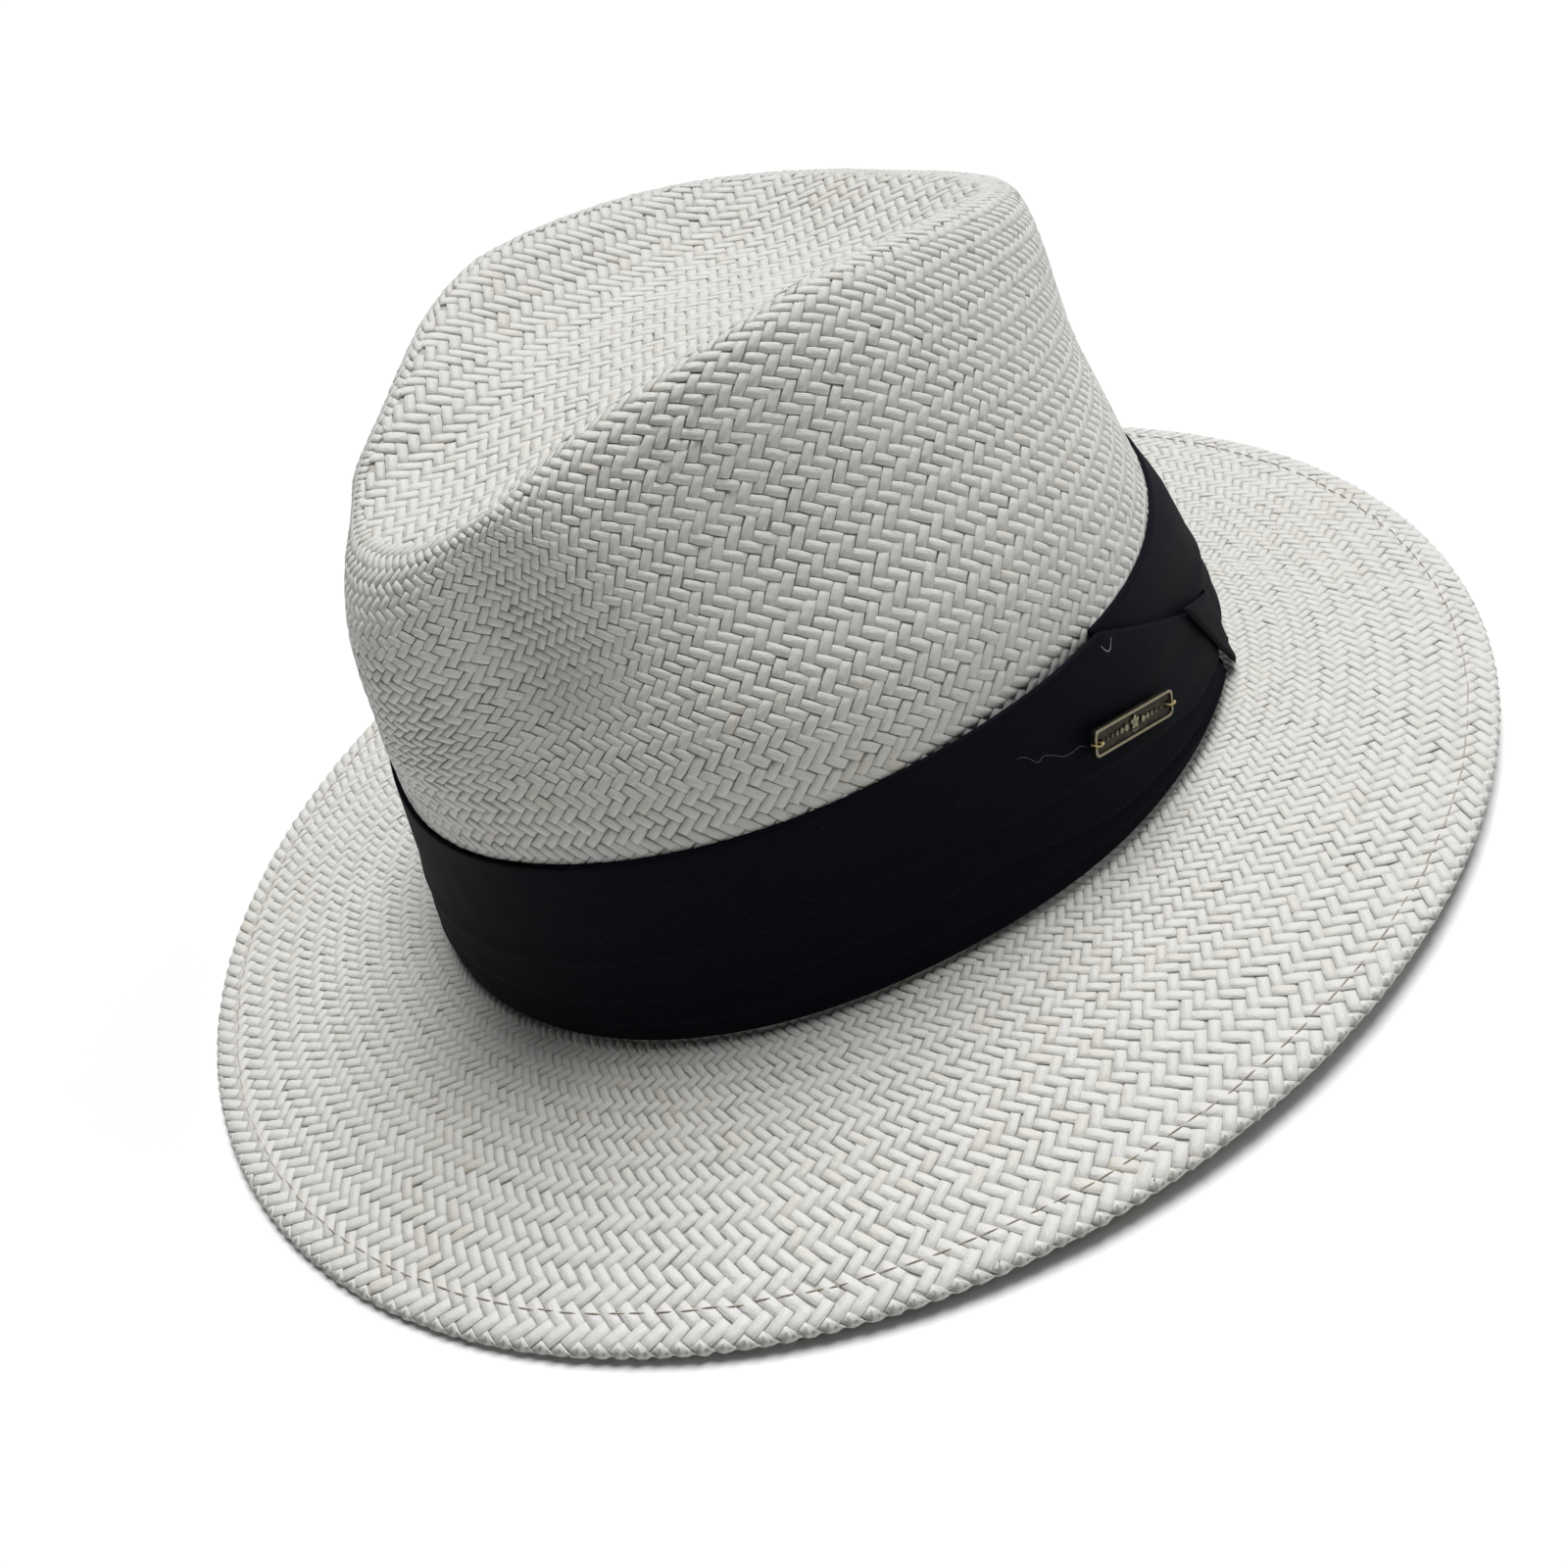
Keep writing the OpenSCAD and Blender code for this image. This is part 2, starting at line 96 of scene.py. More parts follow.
# ---- colours ----
WHITE, CREAM, SHADE = (0.690, 0.684, 0.660), (0.67, 0.65, 0.565), (0.58, 0.575, 0.55)
# painted shade: the core that shows between the floats is coloured about half as bright as the straw,
# for the shade in the gaps
GAP_SHADE_DARK, GAP_SHADE_PALE = (0.36, 0.35, 0.32), (0.50, 0.49, 0.45)
NAVY, NAVY_WORN, LINT = (0.0007, 0.0014, 0.0036), (0.0020, 0.0033, 0.0075), (0.05, 0.055, 0.07)
LINING, LINING_WORN = (0.055, 0.055, 0.06), (0.12, 0.12, 0.13)
LABEL, LABEL_WORN = (0.62, 0.61, 0.57), (0.80, 0.79, 0.75)
BRASS_DARK, BRASS_STAIN = (0.020, 0.018, 0.013), (0.055, 0.047, 0.030)
BRASS_RUBBED, BRASS_SPECK = (0.36, 0.32, 0.22), (0.03, 0.027, 0.020)
WIRE_DARK, WIRE_LIGHT = (0.42, 0.42, 0.43), (0.62, 0.62, 0.63)
FLOOR_WHITE = (0.88, 0.88, 0.88)
# each thread's colour, then a darker colour of painted shade that noise mixes in among its fibres
TAN_THREAD = (0.56, 0.51, 0.43), (0.40, 0.36, 0.29)
YELLOW_THREAD = (0.62, 0.50, 0.20), (0.36, 0.28, 0.10)
DARK_THREAD = (0.035, 0.04, 0.055), (0.012, 0.014, 0.02)
PALE_THREAD = (0.40, 0.41, 0.42), (0.22, 0.23, 0.24)
BLACK_THREAD = (0.03, 0.03, 0.03), (0.01, 0.01, 0.01)


# ---- small maths ----
def ease(x, a, b):
    t = np.clip((x - a) / (b - a), 0, 1)
    return t * t * (3 - 2 * t)


def bump(x, centre, width):
    return np.exp(-(((x - centre) / width) ** 2))


def blend(a, b, k):
    return a + (b - a) * k


def unit(v):
    return v / np.maximum(np.linalg.norm(v, axis=-1, keepdims=True), 1e-9)


def sin_deg(a):
    return np.sin(np.radians(a))


def cos_deg(a):
    return np.cos(np.radians(a))


def angles(count):
    """Evenly spaced angles round the hat, in degrees."""
    return np.arange(count) * 360 / count


def full_turn(count):
    """Evenly spaced angles round a small section, in radians."""
    return np.arange(count) * 2 * math.pi / count


def from_front(a):
    """Angle from the front of the hat, the same on both sides."""
    return np.abs((a + 180) % 360 - 180)


# ---- shape of the straw; u is a place on its profile, 0 at the brim edge, 17 at the middle ----
def base_point(a):
    return np.stack([HALF_WIDTH * sin_deg(a), -HALF_LENGTH * cos_deg(a), 0 * a], axis=-1)


def base_out(a):
    return unit(np.stack([sin_deg(a) / HALF_WIDTH, -cos_deg(a) / HALF_LENGTH, 0 * a], axis=-1))


def base_rise(a):
    return BASE_TILT * cos_deg(a) - BASE_WAVE * cos_deg(2 * a)


def ridge_z(y):
    front = np.clip((RIDGE_PEAK_Y - y) / (RIDGE_FRONT_REACH + RIDGE_PEAK_Y), 0, 1) ** 1.6
    back = np.clip((y - RIDGE_PEAK_Y) / (RIDGE_BACK_REACH - RIDGE_PEAK_Y), 0, 1) ** 1.5
    return (RIDGE_HEIGHT - (RIDGE_HEIGHT - RIDGE_FRONT_HEIGHT) * front
            - (RIDGE_HEIGHT - RIDGE_BACK_HEIGHT) * back)


def dent_z(y):
    return ridge_z(y) - blend(DENT_END_DEPTH, DENT_DEPTH, ease(y, -100, -5))


def ridge_line(a):
    m = from_front(a)
    square = np.where(m > 90, 0.16 * sin_deg(2 * m) ** 2, 0)
    pinch = RIDGE_PINCH * bump(m, 50, 20) * (1 - bump(m, 0, 12))
    x = np.sign(sin_deg(a)) * (RIDGE_HALF_WIDTH * np.abs(sin_deg(a)) * (1 + square) - pinch)
    reach = np.where(cos_deg(a) > 0, RIDGE_FRONT_REACH, RIDGE_BACK_REACH * (1 + square))
    return x, -reach * cos_deg(a)


def profile(a):
    """Control points of the straw's profile at each angle, from the brim edge to the crown centre."""
    m = from_front(a)
    reach = BRIM_WIDTH + BRIM_FRONT_EXTRA * cos_deg(a) - FOLD_RADIUS
    rise = base_rise(a)
    edge = -BRIM_DROP - BRIM_WAVE * cos_deg(2 * a)
    back = ease(m, 95, 140)
    nose = NOSE_SWELL * bump(m, 0, 18)
    pinch = PINCH_DEPTH * bump(m, 24, 12)
    hollow = SIDE_HOLLOW * bump(m, 66, 24)
    swell = SIDE_SWELL * bump(m, 58, 26)
    rx, ry = ridge_line(a)
    rz = ridge_z(ry)
    out = base_out(a)
    ridge = np.stack([rx, ry, 0 * a], axis=-1)
    middle = np.array([0.0, POLE_Y, 0.0])

    def col(x):
        return np.broadcast_to(np.asarray(x, float), a.shape)[:, None]

    def offset(inward, z):
        return base_point(a) - out * col(inward) + UP * col(z)

    def dent(k):
        return blend(ridge, middle, k) + UP * col(dent_z(blend(ry, POLE_Y, k)))

    wall = offset(12, 0)
    rows = [
        offset(-reach, edge),
        offset(-0.70 * reach, blend(rise, edge, 0.66)),
        offset(-0.38 * reach, blend(rise, edge, 0.34)),
        offset(-0.14 * reach, blend(rise, edge, 0.10)),
        offset(-3.2, rise - 0.1),
        offset(-0.2, rise + 0.8),
        offset(0.7 + 0.4 * back, rise * 0.6 + 8),
        offset(WALL_LEAN + 1.5 * back, 24),
        offset(2 * WALL_LEAN + 4.5 * back, 44),
        offset(3.1 * WALL_LEAN - swell + BACK_LEAN * back - nose * 0.8, 66),
        blend(wall, ridge, col(0.20 + 0.012 * hollow))
        - out * col(0.8 * pinch + 0.7 * BACK_LEAN * back - 1.2 * nose) + UP * col(0.70 * rz),
        blend(wall, ridge, col(0.52 + 0.022 * hollow))
        - out * col(pinch + 0.3 * BACK_LEAN * back - nose) + UP * col(0.87 * rz),
        blend(wall, ridge, 0.93) - out * col(0.5 * pinch) + UP * col(rz - 1),
        blend(ridge, middle, 0.10) + UP * col(rz + 1.5),
        blend(ridge, middle, 0.32) + UP * col(blend(rz, dent_z(blend(ry, POLE_Y, 0.32)), 0.55)),
        dent(0.55),
        dent(0.78),
        0 * ridge + middle + UP * dent_z(POLE_Y),
    ]
    return np.stack(rows, axis=1)


def spline_weights(u, count):
    """Cubic B-spline weights over the control points and one phantom point at each end."""
    weights = np.zeros((len(u), count + 2))
    for k, value in enumerate(u):
        i = min(int(value), count - 2)
        f = value - i
        weights[k, i:i + 4] = [(1 - f) ** 3, 3 * f ** 3 - 6 * f * f + 4,
                               -3 * f ** 3 + 3 * f * f + 3 * f + 1, f ** 3]
    return weights / 6


def curve_rows(a, u):
    """Points of the straw's outer surface, [angle, u]."""
    p = profile(a)
    extended = np.concatenate([2 * p[:, :1] - p[:, 1:2], p, 2 * p[:, -1:] - p[:, -2:-1]], axis=1)
    return np.einsum("mk,nkc->nmc", spline_weights(u, p.shape[1]), extended)


class Skin:
    """A surface swept round the hat: points[angle, step], with outward normals."""

    def __init__(self, points):
        self.points = points
        across = np.roll(points, -1, 0) - np.roll(points, 1, 0)
        normals = np.cross(across, np.gradient(points, axis=1))
        self.normals = unit(normals)
        a = from_front(angles(len(points)))
        sides = (a > 25) & (a < 110)
        steps = np.linalg.norm(np.diff(points[sides], axis=1), axis=2).mean(axis=0)
        self.run = np.concatenate([[0], np.cumsum(steps)])
        self.girth = np.linalg.norm(across, axis=2).sum(axis=0) / 2

    def at(self, a, run, out):
        """Point at an angle and a mean distance along the path, a height above the surface."""
        columns = len(self.points)
        col = np.mod(a, 360) / 360 * columns
        i = np.minimum(col.astype(int), columns - 1)
        row = np.interp(run, self.run, np.arange(len(self.run)))
        j = np.minimum(row.astype(int), len(self.run) - 2)
        f = (col - i)[..., None]
        g = (row - j)[..., None]
        k = (i + 1) % columns

        def mix(grid):
            return blend(blend(grid[i, j], grid[k, j], f), blend(grid[i, j + 1], grid[k, j + 1], f), g)

        return mix(self.points) + unit(mix(self.normals)) * np.asarray(out)[..., None]


def under_layer(a, u, depth):
    """Rows of the turned-under edge, a depth below the top of the brim."""
    squeeze = HEM_SQUEEZE * u / HEM_U
    return curve_rows(a, u) - UP * (depth - squeeze)[:, None]


def fold_rows(a, tilts, radius):
    """Rows round the fold at the brim edge, at tilts from 0 on top to 180 underneath."""
    edge = curve_rows(a, np.array([0.0]))
    out = base_out(a)[:, None] * radius * sin_deg(tilts)[None, :, None]
    rise = radius * cos_deg(tilts) - FOLD_RADIUS
    return edge + out + UP * rise[None, :, None]


def outer_skin():
    """Under the hem, round the wired edge, over the brim and up the crown to its centre."""
    a = angles(SKIN_COLUMNS)
    hem = np.linspace(HEM_U, 0.02, 14)
    top = np.concatenate([np.linspace(0, 4, 80), np.linspace(4.04, LAST_U, 420)])
    rows = [under_layer(a, hem, 2 * FOLD_RADIUS + 0 * hem),
            fold_rows(a, np.linspace(180, 8, 18), FOLD_RADIUS), curve_rows(a, top)]
    skin = Skin(np.concatenate(rows, axis=1))
    skin.u = np.concatenate([-1 - hem, np.linspace(-0.9, -0.01, 18), top])
    return skin


def inner_skin():
    """From the crown centre down the inside and out along the underside of the brim to the hem."""
    a = angles(SKIN_COLUMNS)
    u = np.concatenate([np.linspace(LAST_U, 4.04, 420), np.linspace(4, HEM_U + 0.03, 70)])
    outside = Skin(curve_rows(a, u))
    skin = Skin(outside.points + outside.normals * STRAW)
    skin.u = u
    return skin


# ---- mesh making ----
def add_object(name, data):
    """An object that shows some data, linked to the scene."""
    thing = bpy.data.objects.new(name, data)
    bpy.context.scene.collection.objects.link(thing)
    return thing


def new_piece(name, vertices, faces, attributes=None):
    """An object from points in mm in the hat's own frame, and faces of one size as an array."""
    points = (np.asarray(vertices, float).reshape(-1, 3) + CENTRE) * MM
    faces = np.asarray(faces, np.int32)
    mesh = bpy.data.meshes.new(name)
    mesh.vertices.add(len(points))
    mesh.vertices.foreach_set("co", points.ravel())
    mesh.loops.add(faces.size)
    mesh.loops.foreach_set("vertex_index", faces.ravel())
    mesh.polygons.add(len(faces))
    starts = np.arange(0, faces.size, faces.shape[1], dtype=np.int32)
    mesh.polygons.foreach_set("loop_start", starts)
    mesh.polygons.foreach_set("use_smooth", np.ones(len(faces), bool))
    for key, values in (attributes or {}).items():
        values = np.asarray(values, float)
        kind, field = ("FLOAT", "value") if values.ndim == 1 else ("FLOAT_VECTOR", "vector")
        mesh.attributes.new(key, kind, "POINT").data.foreach_set(field, values.ravel())
    mesh.update(calc_edges=True)
    mesh.validate()
    return add_object(name, mesh)


def grid_faces(rows, columns, close_rows=False, close_columns=False):
    """Quads of a grid of points, numbered row by row."""
    i = np.arange(rows if close_rows else rows - 1)
    j = np.arange(columns if close_columns else columns - 1)
    i, j = np.meshgrid(i, j, indexing="ij")
    i2, j2 = (i + 1) % rows, (j + 1) % columns
    quads = np.stack([i * columns + j, i * columns + j2, i2 * columns + j2, i2 * columns + j], axis=-1)
    return quads.reshape(-1, 4)


def closed_faces(rows):
    """Quads of closed sections in a closed ring."""
    return grid_faces(*rows.shape[:2], close_rows=True, close_columns=True)


def capped_strip(rows):
    """Vertices and quads of a strip of closed sections, with each end closed across its section."""
    count, around = rows.shape[:2]
    faces = [grid_faces(count, around, close_columns=True)]
    half = around // 2
    j = np.arange(half - 1)
    cap = np.stack([j, j + 1, around - 2 - j, around - 1 - j], axis=-1)
    faces.append(cap[:, ::-1])
    faces.append(cap + (count - 1) * around)
    return rows.reshape(-1, 3), np.concatenate(faces)


def cloth_map(rows, along):
    """Coordinates of cloth in mm: a distance along it, and the height."""
    flat = 0 * rows[..., 2]
    return {"cloth": np.stack([along + flat, rows[..., 2], flat], axis=-1).reshape(-1, 3)}


def join_pieces(name, pieces):
    """Several objects as one, keeping each one's attributes."""
    bpy.ops.object.select_all(action="DESELECT")
    for piece in pieces:
        piece.select_set(True)
    bpy.context.view_layer.objects.active = pieces[0]
    bpy.ops.object.join()
    joined = bpy.context.view_layer.objects.active
    joined.name = name
    joined.data.name = name
    return joined


def finish_piece(piece, material, node):
    piece.data.materials.clear()
    piece.data.materials.append(material)
    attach(piece, "root")
    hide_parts(node)
    return piece


# ---- weave: two over, two under, both families of strands at 45 degrees to the rings ----
# places of the points along and across one float, in pitches
FINE = (np.array([-1.10, -0.99, -0.93, -0.30, 0.30, 0.93, 0.99, 1.10]),
        np.array([-0.50, -0.480, -0.45, 0.45, 0.480, 0.50]))
COARSE = (np.array([-1.10, -0.94, 0.0, 0.94, 1.10]), np.array([-0.50, -0.470, 0.470, 0.50]))


def float_heights(xi, eta):
    """Height in mm of one float over the mean surface: domed, its ends and edges tucked down."""
    ends = ease(np.abs(xi), 0.90, 1.12)
    edges = ease(np.abs(eta), 0.455, 0.505)
    return 0.10 + 0.05 * (1 - (2 * eta) ** 2) + 0.05 * (1 - xi * xi) - 0.46 * ends - 0.36 * edges


def sway(turn, q, seed):
    """Slow wander of the rings, as hand weaving has, the same at both ends of a turn."""
    rng = np.random.default_rng(seed)
    total = 0
    for waves in (3, 7, 12, 19, 31):
        phase, drift = rng.uniform(0, 6.28), rng.uniform(-0.5, 0.5)
        total = total + np.sin(2 * math.pi * waves * turn + phase + drift * q) / (2 + waves * 0.2)
    return 0.10 * total


def float_shapes(xi, eta, count, rng):
    """Uneven floats: distances along and across each one in pitches, and heights in mm."""
    steady = rng.normal(0, 1, (count, 8))[:, :, None, None]
    stretch, shift, fat, aside, skew, lift, roll, pitch = (steady[:, k] for k in range(8))
    short = (rng.random((count, 1, 1)) < SHORT_SHARE) * 0.14
    width = np.clip(0.985 + 0.03 * fat, 0.90, 1.04)
    waist = 1.02 - 0.09 * np.minimum(xi * xi, 1)
    x = xi * (1 + 0.05 * stretch - short) + 0.05 * shift
    y = eta * width * waist + 0.02 * aside + 0.03 * skew * xi
    height = float_heights(xi, eta) + 0.03 * lift * (1 - ease(np.abs(xi), 0.8, 1.12))
    height = height + 0.09 * roll * eta + 0.03 * pitch * xi
    creased = (rng.random((count, 1, 1)) < CREASED_SHARE) * 0.16
    return x, y, height - creased * bump(xi, 0.3, 0.25) * (1 - 4 * eta * eta)


def weave_floats(name, centres, first, place, rng, shape, flip):
    """One family of floats. centres is [float, (ring position, row)], first says which family."""
    along, across = shape
    xi, eta = np.meshgrid(along, across, indexing="ij")
    count = len(centres)
    x, y, height = float_shapes(xi, eta, count, rng)
    ring = centres[:, 0, None, None] + (y + x) / 2
    row = centres[:, 1, None, None] + ((y - x) if first else (x - y)) / 2
    points = place(ring, row, height)
    faces = grid_faces(len(along), len(across))
    if first != flip:
        faces = faces[:, ::-1]
    size = len(along) * len(across)
    tone = rng.random(count)
    offset = rng.uniform(0, 90, (count, 1, 1))
    grain = np.stack([xi * 2.3 + offset, eta * 2.3 + offset * 0.37, eta * 2 + 0 * offset], axis=-1)
    parts = math.ceil(count * len(faces) / MOST_FACES)
    pieces = []
    for k, some in enumerate(np.array_split(np.argsort(centres[:, 0], kind="stable"), parts)):
        every = (faces[None] + (np.arange(len(some)) * size)[:, None, None]).reshape(-1, 4)
        looks = {"tone": np.repeat(tone[some], size), "grain": grain[some].reshape(-1, 3)}
        pieces.append(new_piece(f"{name}_{k + 1}", points[some], every, looks))
    return pieces


def float_centres(rings, rows, first):
    """Centres of one family's floats, which take every second row; both in strand pitches."""
    kept = [r for r in rows if (r % 2 == 0) == first]
    ring, row = np.meshgrid(rings + (0.25 if first else 0.75), np.array(kept) + 0.25, indexing="ij")
    return np.stack([ring.ravel(), row.ravel()], axis=-1)


def both_families(name, centres_of, place, shape, flip, seed):
    """The floats of both families of strands; centres_of gives the centres of one of them."""
    pieces = []
    for first in (True, False):
        rng = np.random.default_rng(seed * 10 + first)
        family = name + ("_a" if first else "_b")
        pieces += weave_floats(family, centres_of(first), first, place, rng, shape, flip)
    return pieces


def rumple(a, u, ring, row):
    """Kinks in mm where the strands were creased by hand, under the wearer's left ridge."""
    amount = 0.24 * bump(a, 60, 15) * bump(u, 11.5, 0.9)
    return amount * np.sin(5.1 * ring + 3.3 * row) * np.cos(7.7 * row - 2.2 * ring)


def ring_weave(name, skin, strands, run_from, run_to, shape, seed):
    """The floats of a stretch of rings between two distances along a skin's path."""
    turns = np.concatenate([[0], np.cumsum(np.diff(skin.run) * strands
                                           / ((skin.girth[1:] + skin.girth[:-1]) / 2))])
    low, high = np.interp([run_from, run_to], skin.run, turns)

    def place(ring, row, height):
        turn = ring / strands
        q = row + sway(turn, row, seed)
        a = 360 * (turn + sway(turn, row, seed + 1) / strands * 0.6)
        run = np.interp(q, turns, skin.run)
        u = np.interp(run, skin.run, skin.u)
        return skin.at(a, run, height + rumple(a, u, ring, row))

    def centres_of(first):
        rows = range(math.ceil(low - 0.25), math.floor(high - 0.25) + 1)
        return float_centres(np.arange(strands), rows, first)

    return both_families(name, centres_of, place, shape, False, seed)


def tip_weave(name, skin, start_u, shape, seed):
    """The flat-woven tip of the crown inside the ridge: rows run straight along the hat."""
    a = np.linspace(0, 360, 721)
    rx, ry = ridge_line(a)
    bearing = np.unwrap(np.arctan2(rx, -(ry - POLE_Y)))
    reach = np.hypot(rx, ry - POLE_Y)
    inside = np.abs(skin.u) >= 11.5
    runs, us = skin.run[inside], skin.u[inside]
    step = len(skin.points) // 360
    plan = skin.points[::step][:, inside, :2] - np.array([0, POLE_Y])
    base = np.hypot(*ridge_line(angles(360)) - np.array([[0.0], [POLE_Y]]))
    fraction = (np.hypot(plan[..., 0], plan[..., 1]) / base[:, None]).mean(axis=0)
    order = np.argsort(fraction)

    def locate(x, y):
        angle = np.mod(np.arctan2(x, -(y - POLE_Y)), 2 * math.pi)
        at = np.interp(angle, bearing, a)
        wide = np.interp(at, a, reach)
        k = np.hypot(x, y - POLE_Y) / wide
        return (at, np.interp(k, fraction[order], runs[order]),
                np.interp(k, fraction[order], us[order]))

    def place(ring, row, height):
        wobble = sway(ring / 40, row, seed)
        at, run, _ = locate(TIP_PITCH * (row + wobble), TIP_PITCH * ring + POLE_Y)
        return skin.at(at, run, height)

    def centres_of(first):
        span = int(110 / TIP_PITCH)
        centres = float_centres(np.arange(-span, span), range(-span, span), first)
        x, y = TIP_PITCH * centres[:, 1], TIP_PITCH * centres[:, 0]
        _, _, u = locate(x, y + POLE_Y)
        return centres[(u > start_u - JOIN_GAP) & (np.hypot(x, y) < 100)]

    return both_families(name, centres_of, place, shape, skin.u[0] < skin.u[-1], seed)


def straw_core():
    """The closed body under the floats, thinner than the straw on both faces."""
    a = angles(240)
    hem = np.linspace(HEM_U, 0.05, 6)
    u = np.concatenate([np.linspace(0, 4, 24), np.linspace(4.2, 16.9, 76)])
    outside = Skin(curve_rows(a, u))
    top = outside.points - outside.normals * CORE_DEPTH
    under = outside.points - outside.normals * (STRAW - CORE_DEPTH)
    bottom = under_layer(a, hem, 2 * FOLD_RADIUS - CORE_DEPTH + 0 * hem)
    fold = fold_rows(a, np.linspace(170, 20, 8), FOLD_RADIUS - CORE_DEPTH)
    pocket = fold_rows(a, np.linspace(20, 160, 5), FOLD_GAP / 2 + 0.1)
    roof = under_layer(a, hem[::-1], 2 * FOLD_RADIUS - STRAW + CORE_DEPTH + 0 * hem)
    rows = np.concatenate([bottom, fold, top, under[:, ::-1], pocket, roof], axis=1)
    return new_piece("straw_core", rows, closed_faces(rows))


# ---- fitting things to the wall of the crown ----
WALL_U = np.linspace(4.4, 9.9, 160)


def on_wall(a, z, out):
    """Points at heights z[angle, k], a distance outside (+) or inside (-) the straw."""
    table = curve_rows(a, WALL_U)
    x, y = (np.stack([np.interp(z[i], table[i, :, 2], table[i, :, k]) for i in range(len(a))])
            for k in (0, 1))
    return np.stack([x, y, z], axis=-1) + base_out(a)[:, None] * out[..., None]


def wall_path(a, z, out):
    """Points along a line on the wall, one for each angle."""
    return on_wall(a, z[:, None], out[:, None])[:, 0]


def band_bottom(a):
    return base_rise(a) + 2.4


def band_top(a):
    slope = np.clip((a - 360 - BAND_START) / (BAND_STOP - BAND_START), 0, 1)
    return band_bottom(a) + BAND_HEIGHT * (1 - 0.62 * slope)


def lap(a):
    return BAND_CLEAR + BAND_LAYER * ease(a, 360 + 56, 360 + BAND_START - 4)


def band_outer(a):
    return lap(a) + BAND_THICKNESS + PLEAT_STEP


# height of each pleat's lip above the foot of the band, as a share of the band's height
PLEAT_ANGLES = [90, 340, 360, 395, 418, 430, 446, 466, 481]
PLEAT_SHARES = [
    [0.50, 0.38, 0.40, 0.50, 0.545, 0.50, 0.42, 0.19, 0.12],
    [0.30, 0.20, 0.21, 0.26, 0.300, 0.33, 0.17, 0.10, 0.07],
    [0.14, 0.09, 0.09, 0.11, 0.130, 0.13, 0.08, 0.04, 0.03],
]
# outline of one pleat's lip: height from the lip in mm, share of the step
LIP = [(4.0, 0.30), (2.2, 0.62), (1.0, 0.92), (0.35, 1.0), (0.05, 0.86), (-0.1, 0.5),
       (0.05, 0.18), (-0.6, 0.03)]


def cloth_relief(a, z):
    """Soft unevenness of pleated cloth, in mm."""
    t = np.radians(a)
    pull = bump(a, 360 + 112, 22)
    fan = np.sin(z * 0.55 - (360 + 118 - a) * 0.16) * 0.22 * pull
    slow = 0.16 * np.sin(5 * t + z * 0.11) + 0.10 * np.sin(11 * t - z * 0.21 + 1.3)
    fine = 0.05 * np.sin(31 * t + z * 0.4) * np.sin(17 * t + 0.7 - z * 0.23)
    pucker = -0.45 * bump(a, 360 + 84.5, 2.2) * bump(z, 31, 2.2)
    return slow * 0.6 + fine + fan + pucker


def band_section(a, foot, top):
    """Heights and distances out of the band's front, from its top edge down over the pleats."""
    lips = [foot + np.interp(a, PLEAT_ANGLES, share) * BAND_HEIGHT for share in PLEAT_SHARES]
    step = PLEAT_STEP * 1.7
    flat = BAND_THICKNESS - 0.15
    section = [(top, flat - 0.75), (top - 0.08, flat - 0.3), (top - 0.4, flat - 0.04), (top - 1.2, flat)]
    upper = top - 1.2
    for lip in lips:
        room = np.clip((upper - lip) / 6, 0.15, 1)
        start = lip + LIP[0][0] * room
        for k in np.linspace(0, 1, 7)[1:-1]:
            section.append((blend(upper, start, k), flat + step * LIP[0][1] * k))
        for dz, share in LIP:
            section.append((lip + dz * (room if dz > 0.5 else 1), flat + step * share))
        upper = lip + LIP[-1][0]
    for k in (0.3, 0.6, 0.85):
        section.append((blend(upper, foot + 0.5, k), flat))
    section += [(foot + 0.35, flat - 0.05), (foot + 0.05, flat - 0.35), (foot, flat - 0.75)]
    return (np.stack([height for height, _ in section], axis=1),
            np.stack([0 * a + out for _, out in section], axis=1))


def hat_band():
    a = np.linspace(BAND_START, 360 + BAND_STOP - 2.5, 560)
    foot, top = band_bottom(a), band_top(a)
    z, out = band_section(a, foot, top)
    loose = 1.9 * bump(a, 129, 15)[:, None] * ease(out_edge(z), 0, 6)
    relief = cloth_relief(a[:, None], z) * ease(out_edge(z), 0, 2)
    z_in = np.stack([blend(foot, top, k) for k in np.linspace(0, 1, z.shape[1])], axis=1)
    outside = on_wall(a, z, out + lap(a)[:, None] + relief + loose)
    inside = on_wall(a, z_in, lap(a)[:, None] + 0 * z_in)
    rows = np.concatenate([outside, inside], axis=1)
    points, faces = capped_strip(rows)
    arc = np.concatenate([[0], np.cumsum(np.linalg.norm(np.diff(rows[:, 0], axis=0), axis=1))])
    return new_piece("pleated_band", points, faces, cloth_map(rows, arc[:, None]))


def out_edge(z):
    """Distance in mm from the nearer long edge of the band."""
    return np.minimum(z - z.min(axis=1, keepdims=True), z.max(axis=1, keepdims=True) - z)


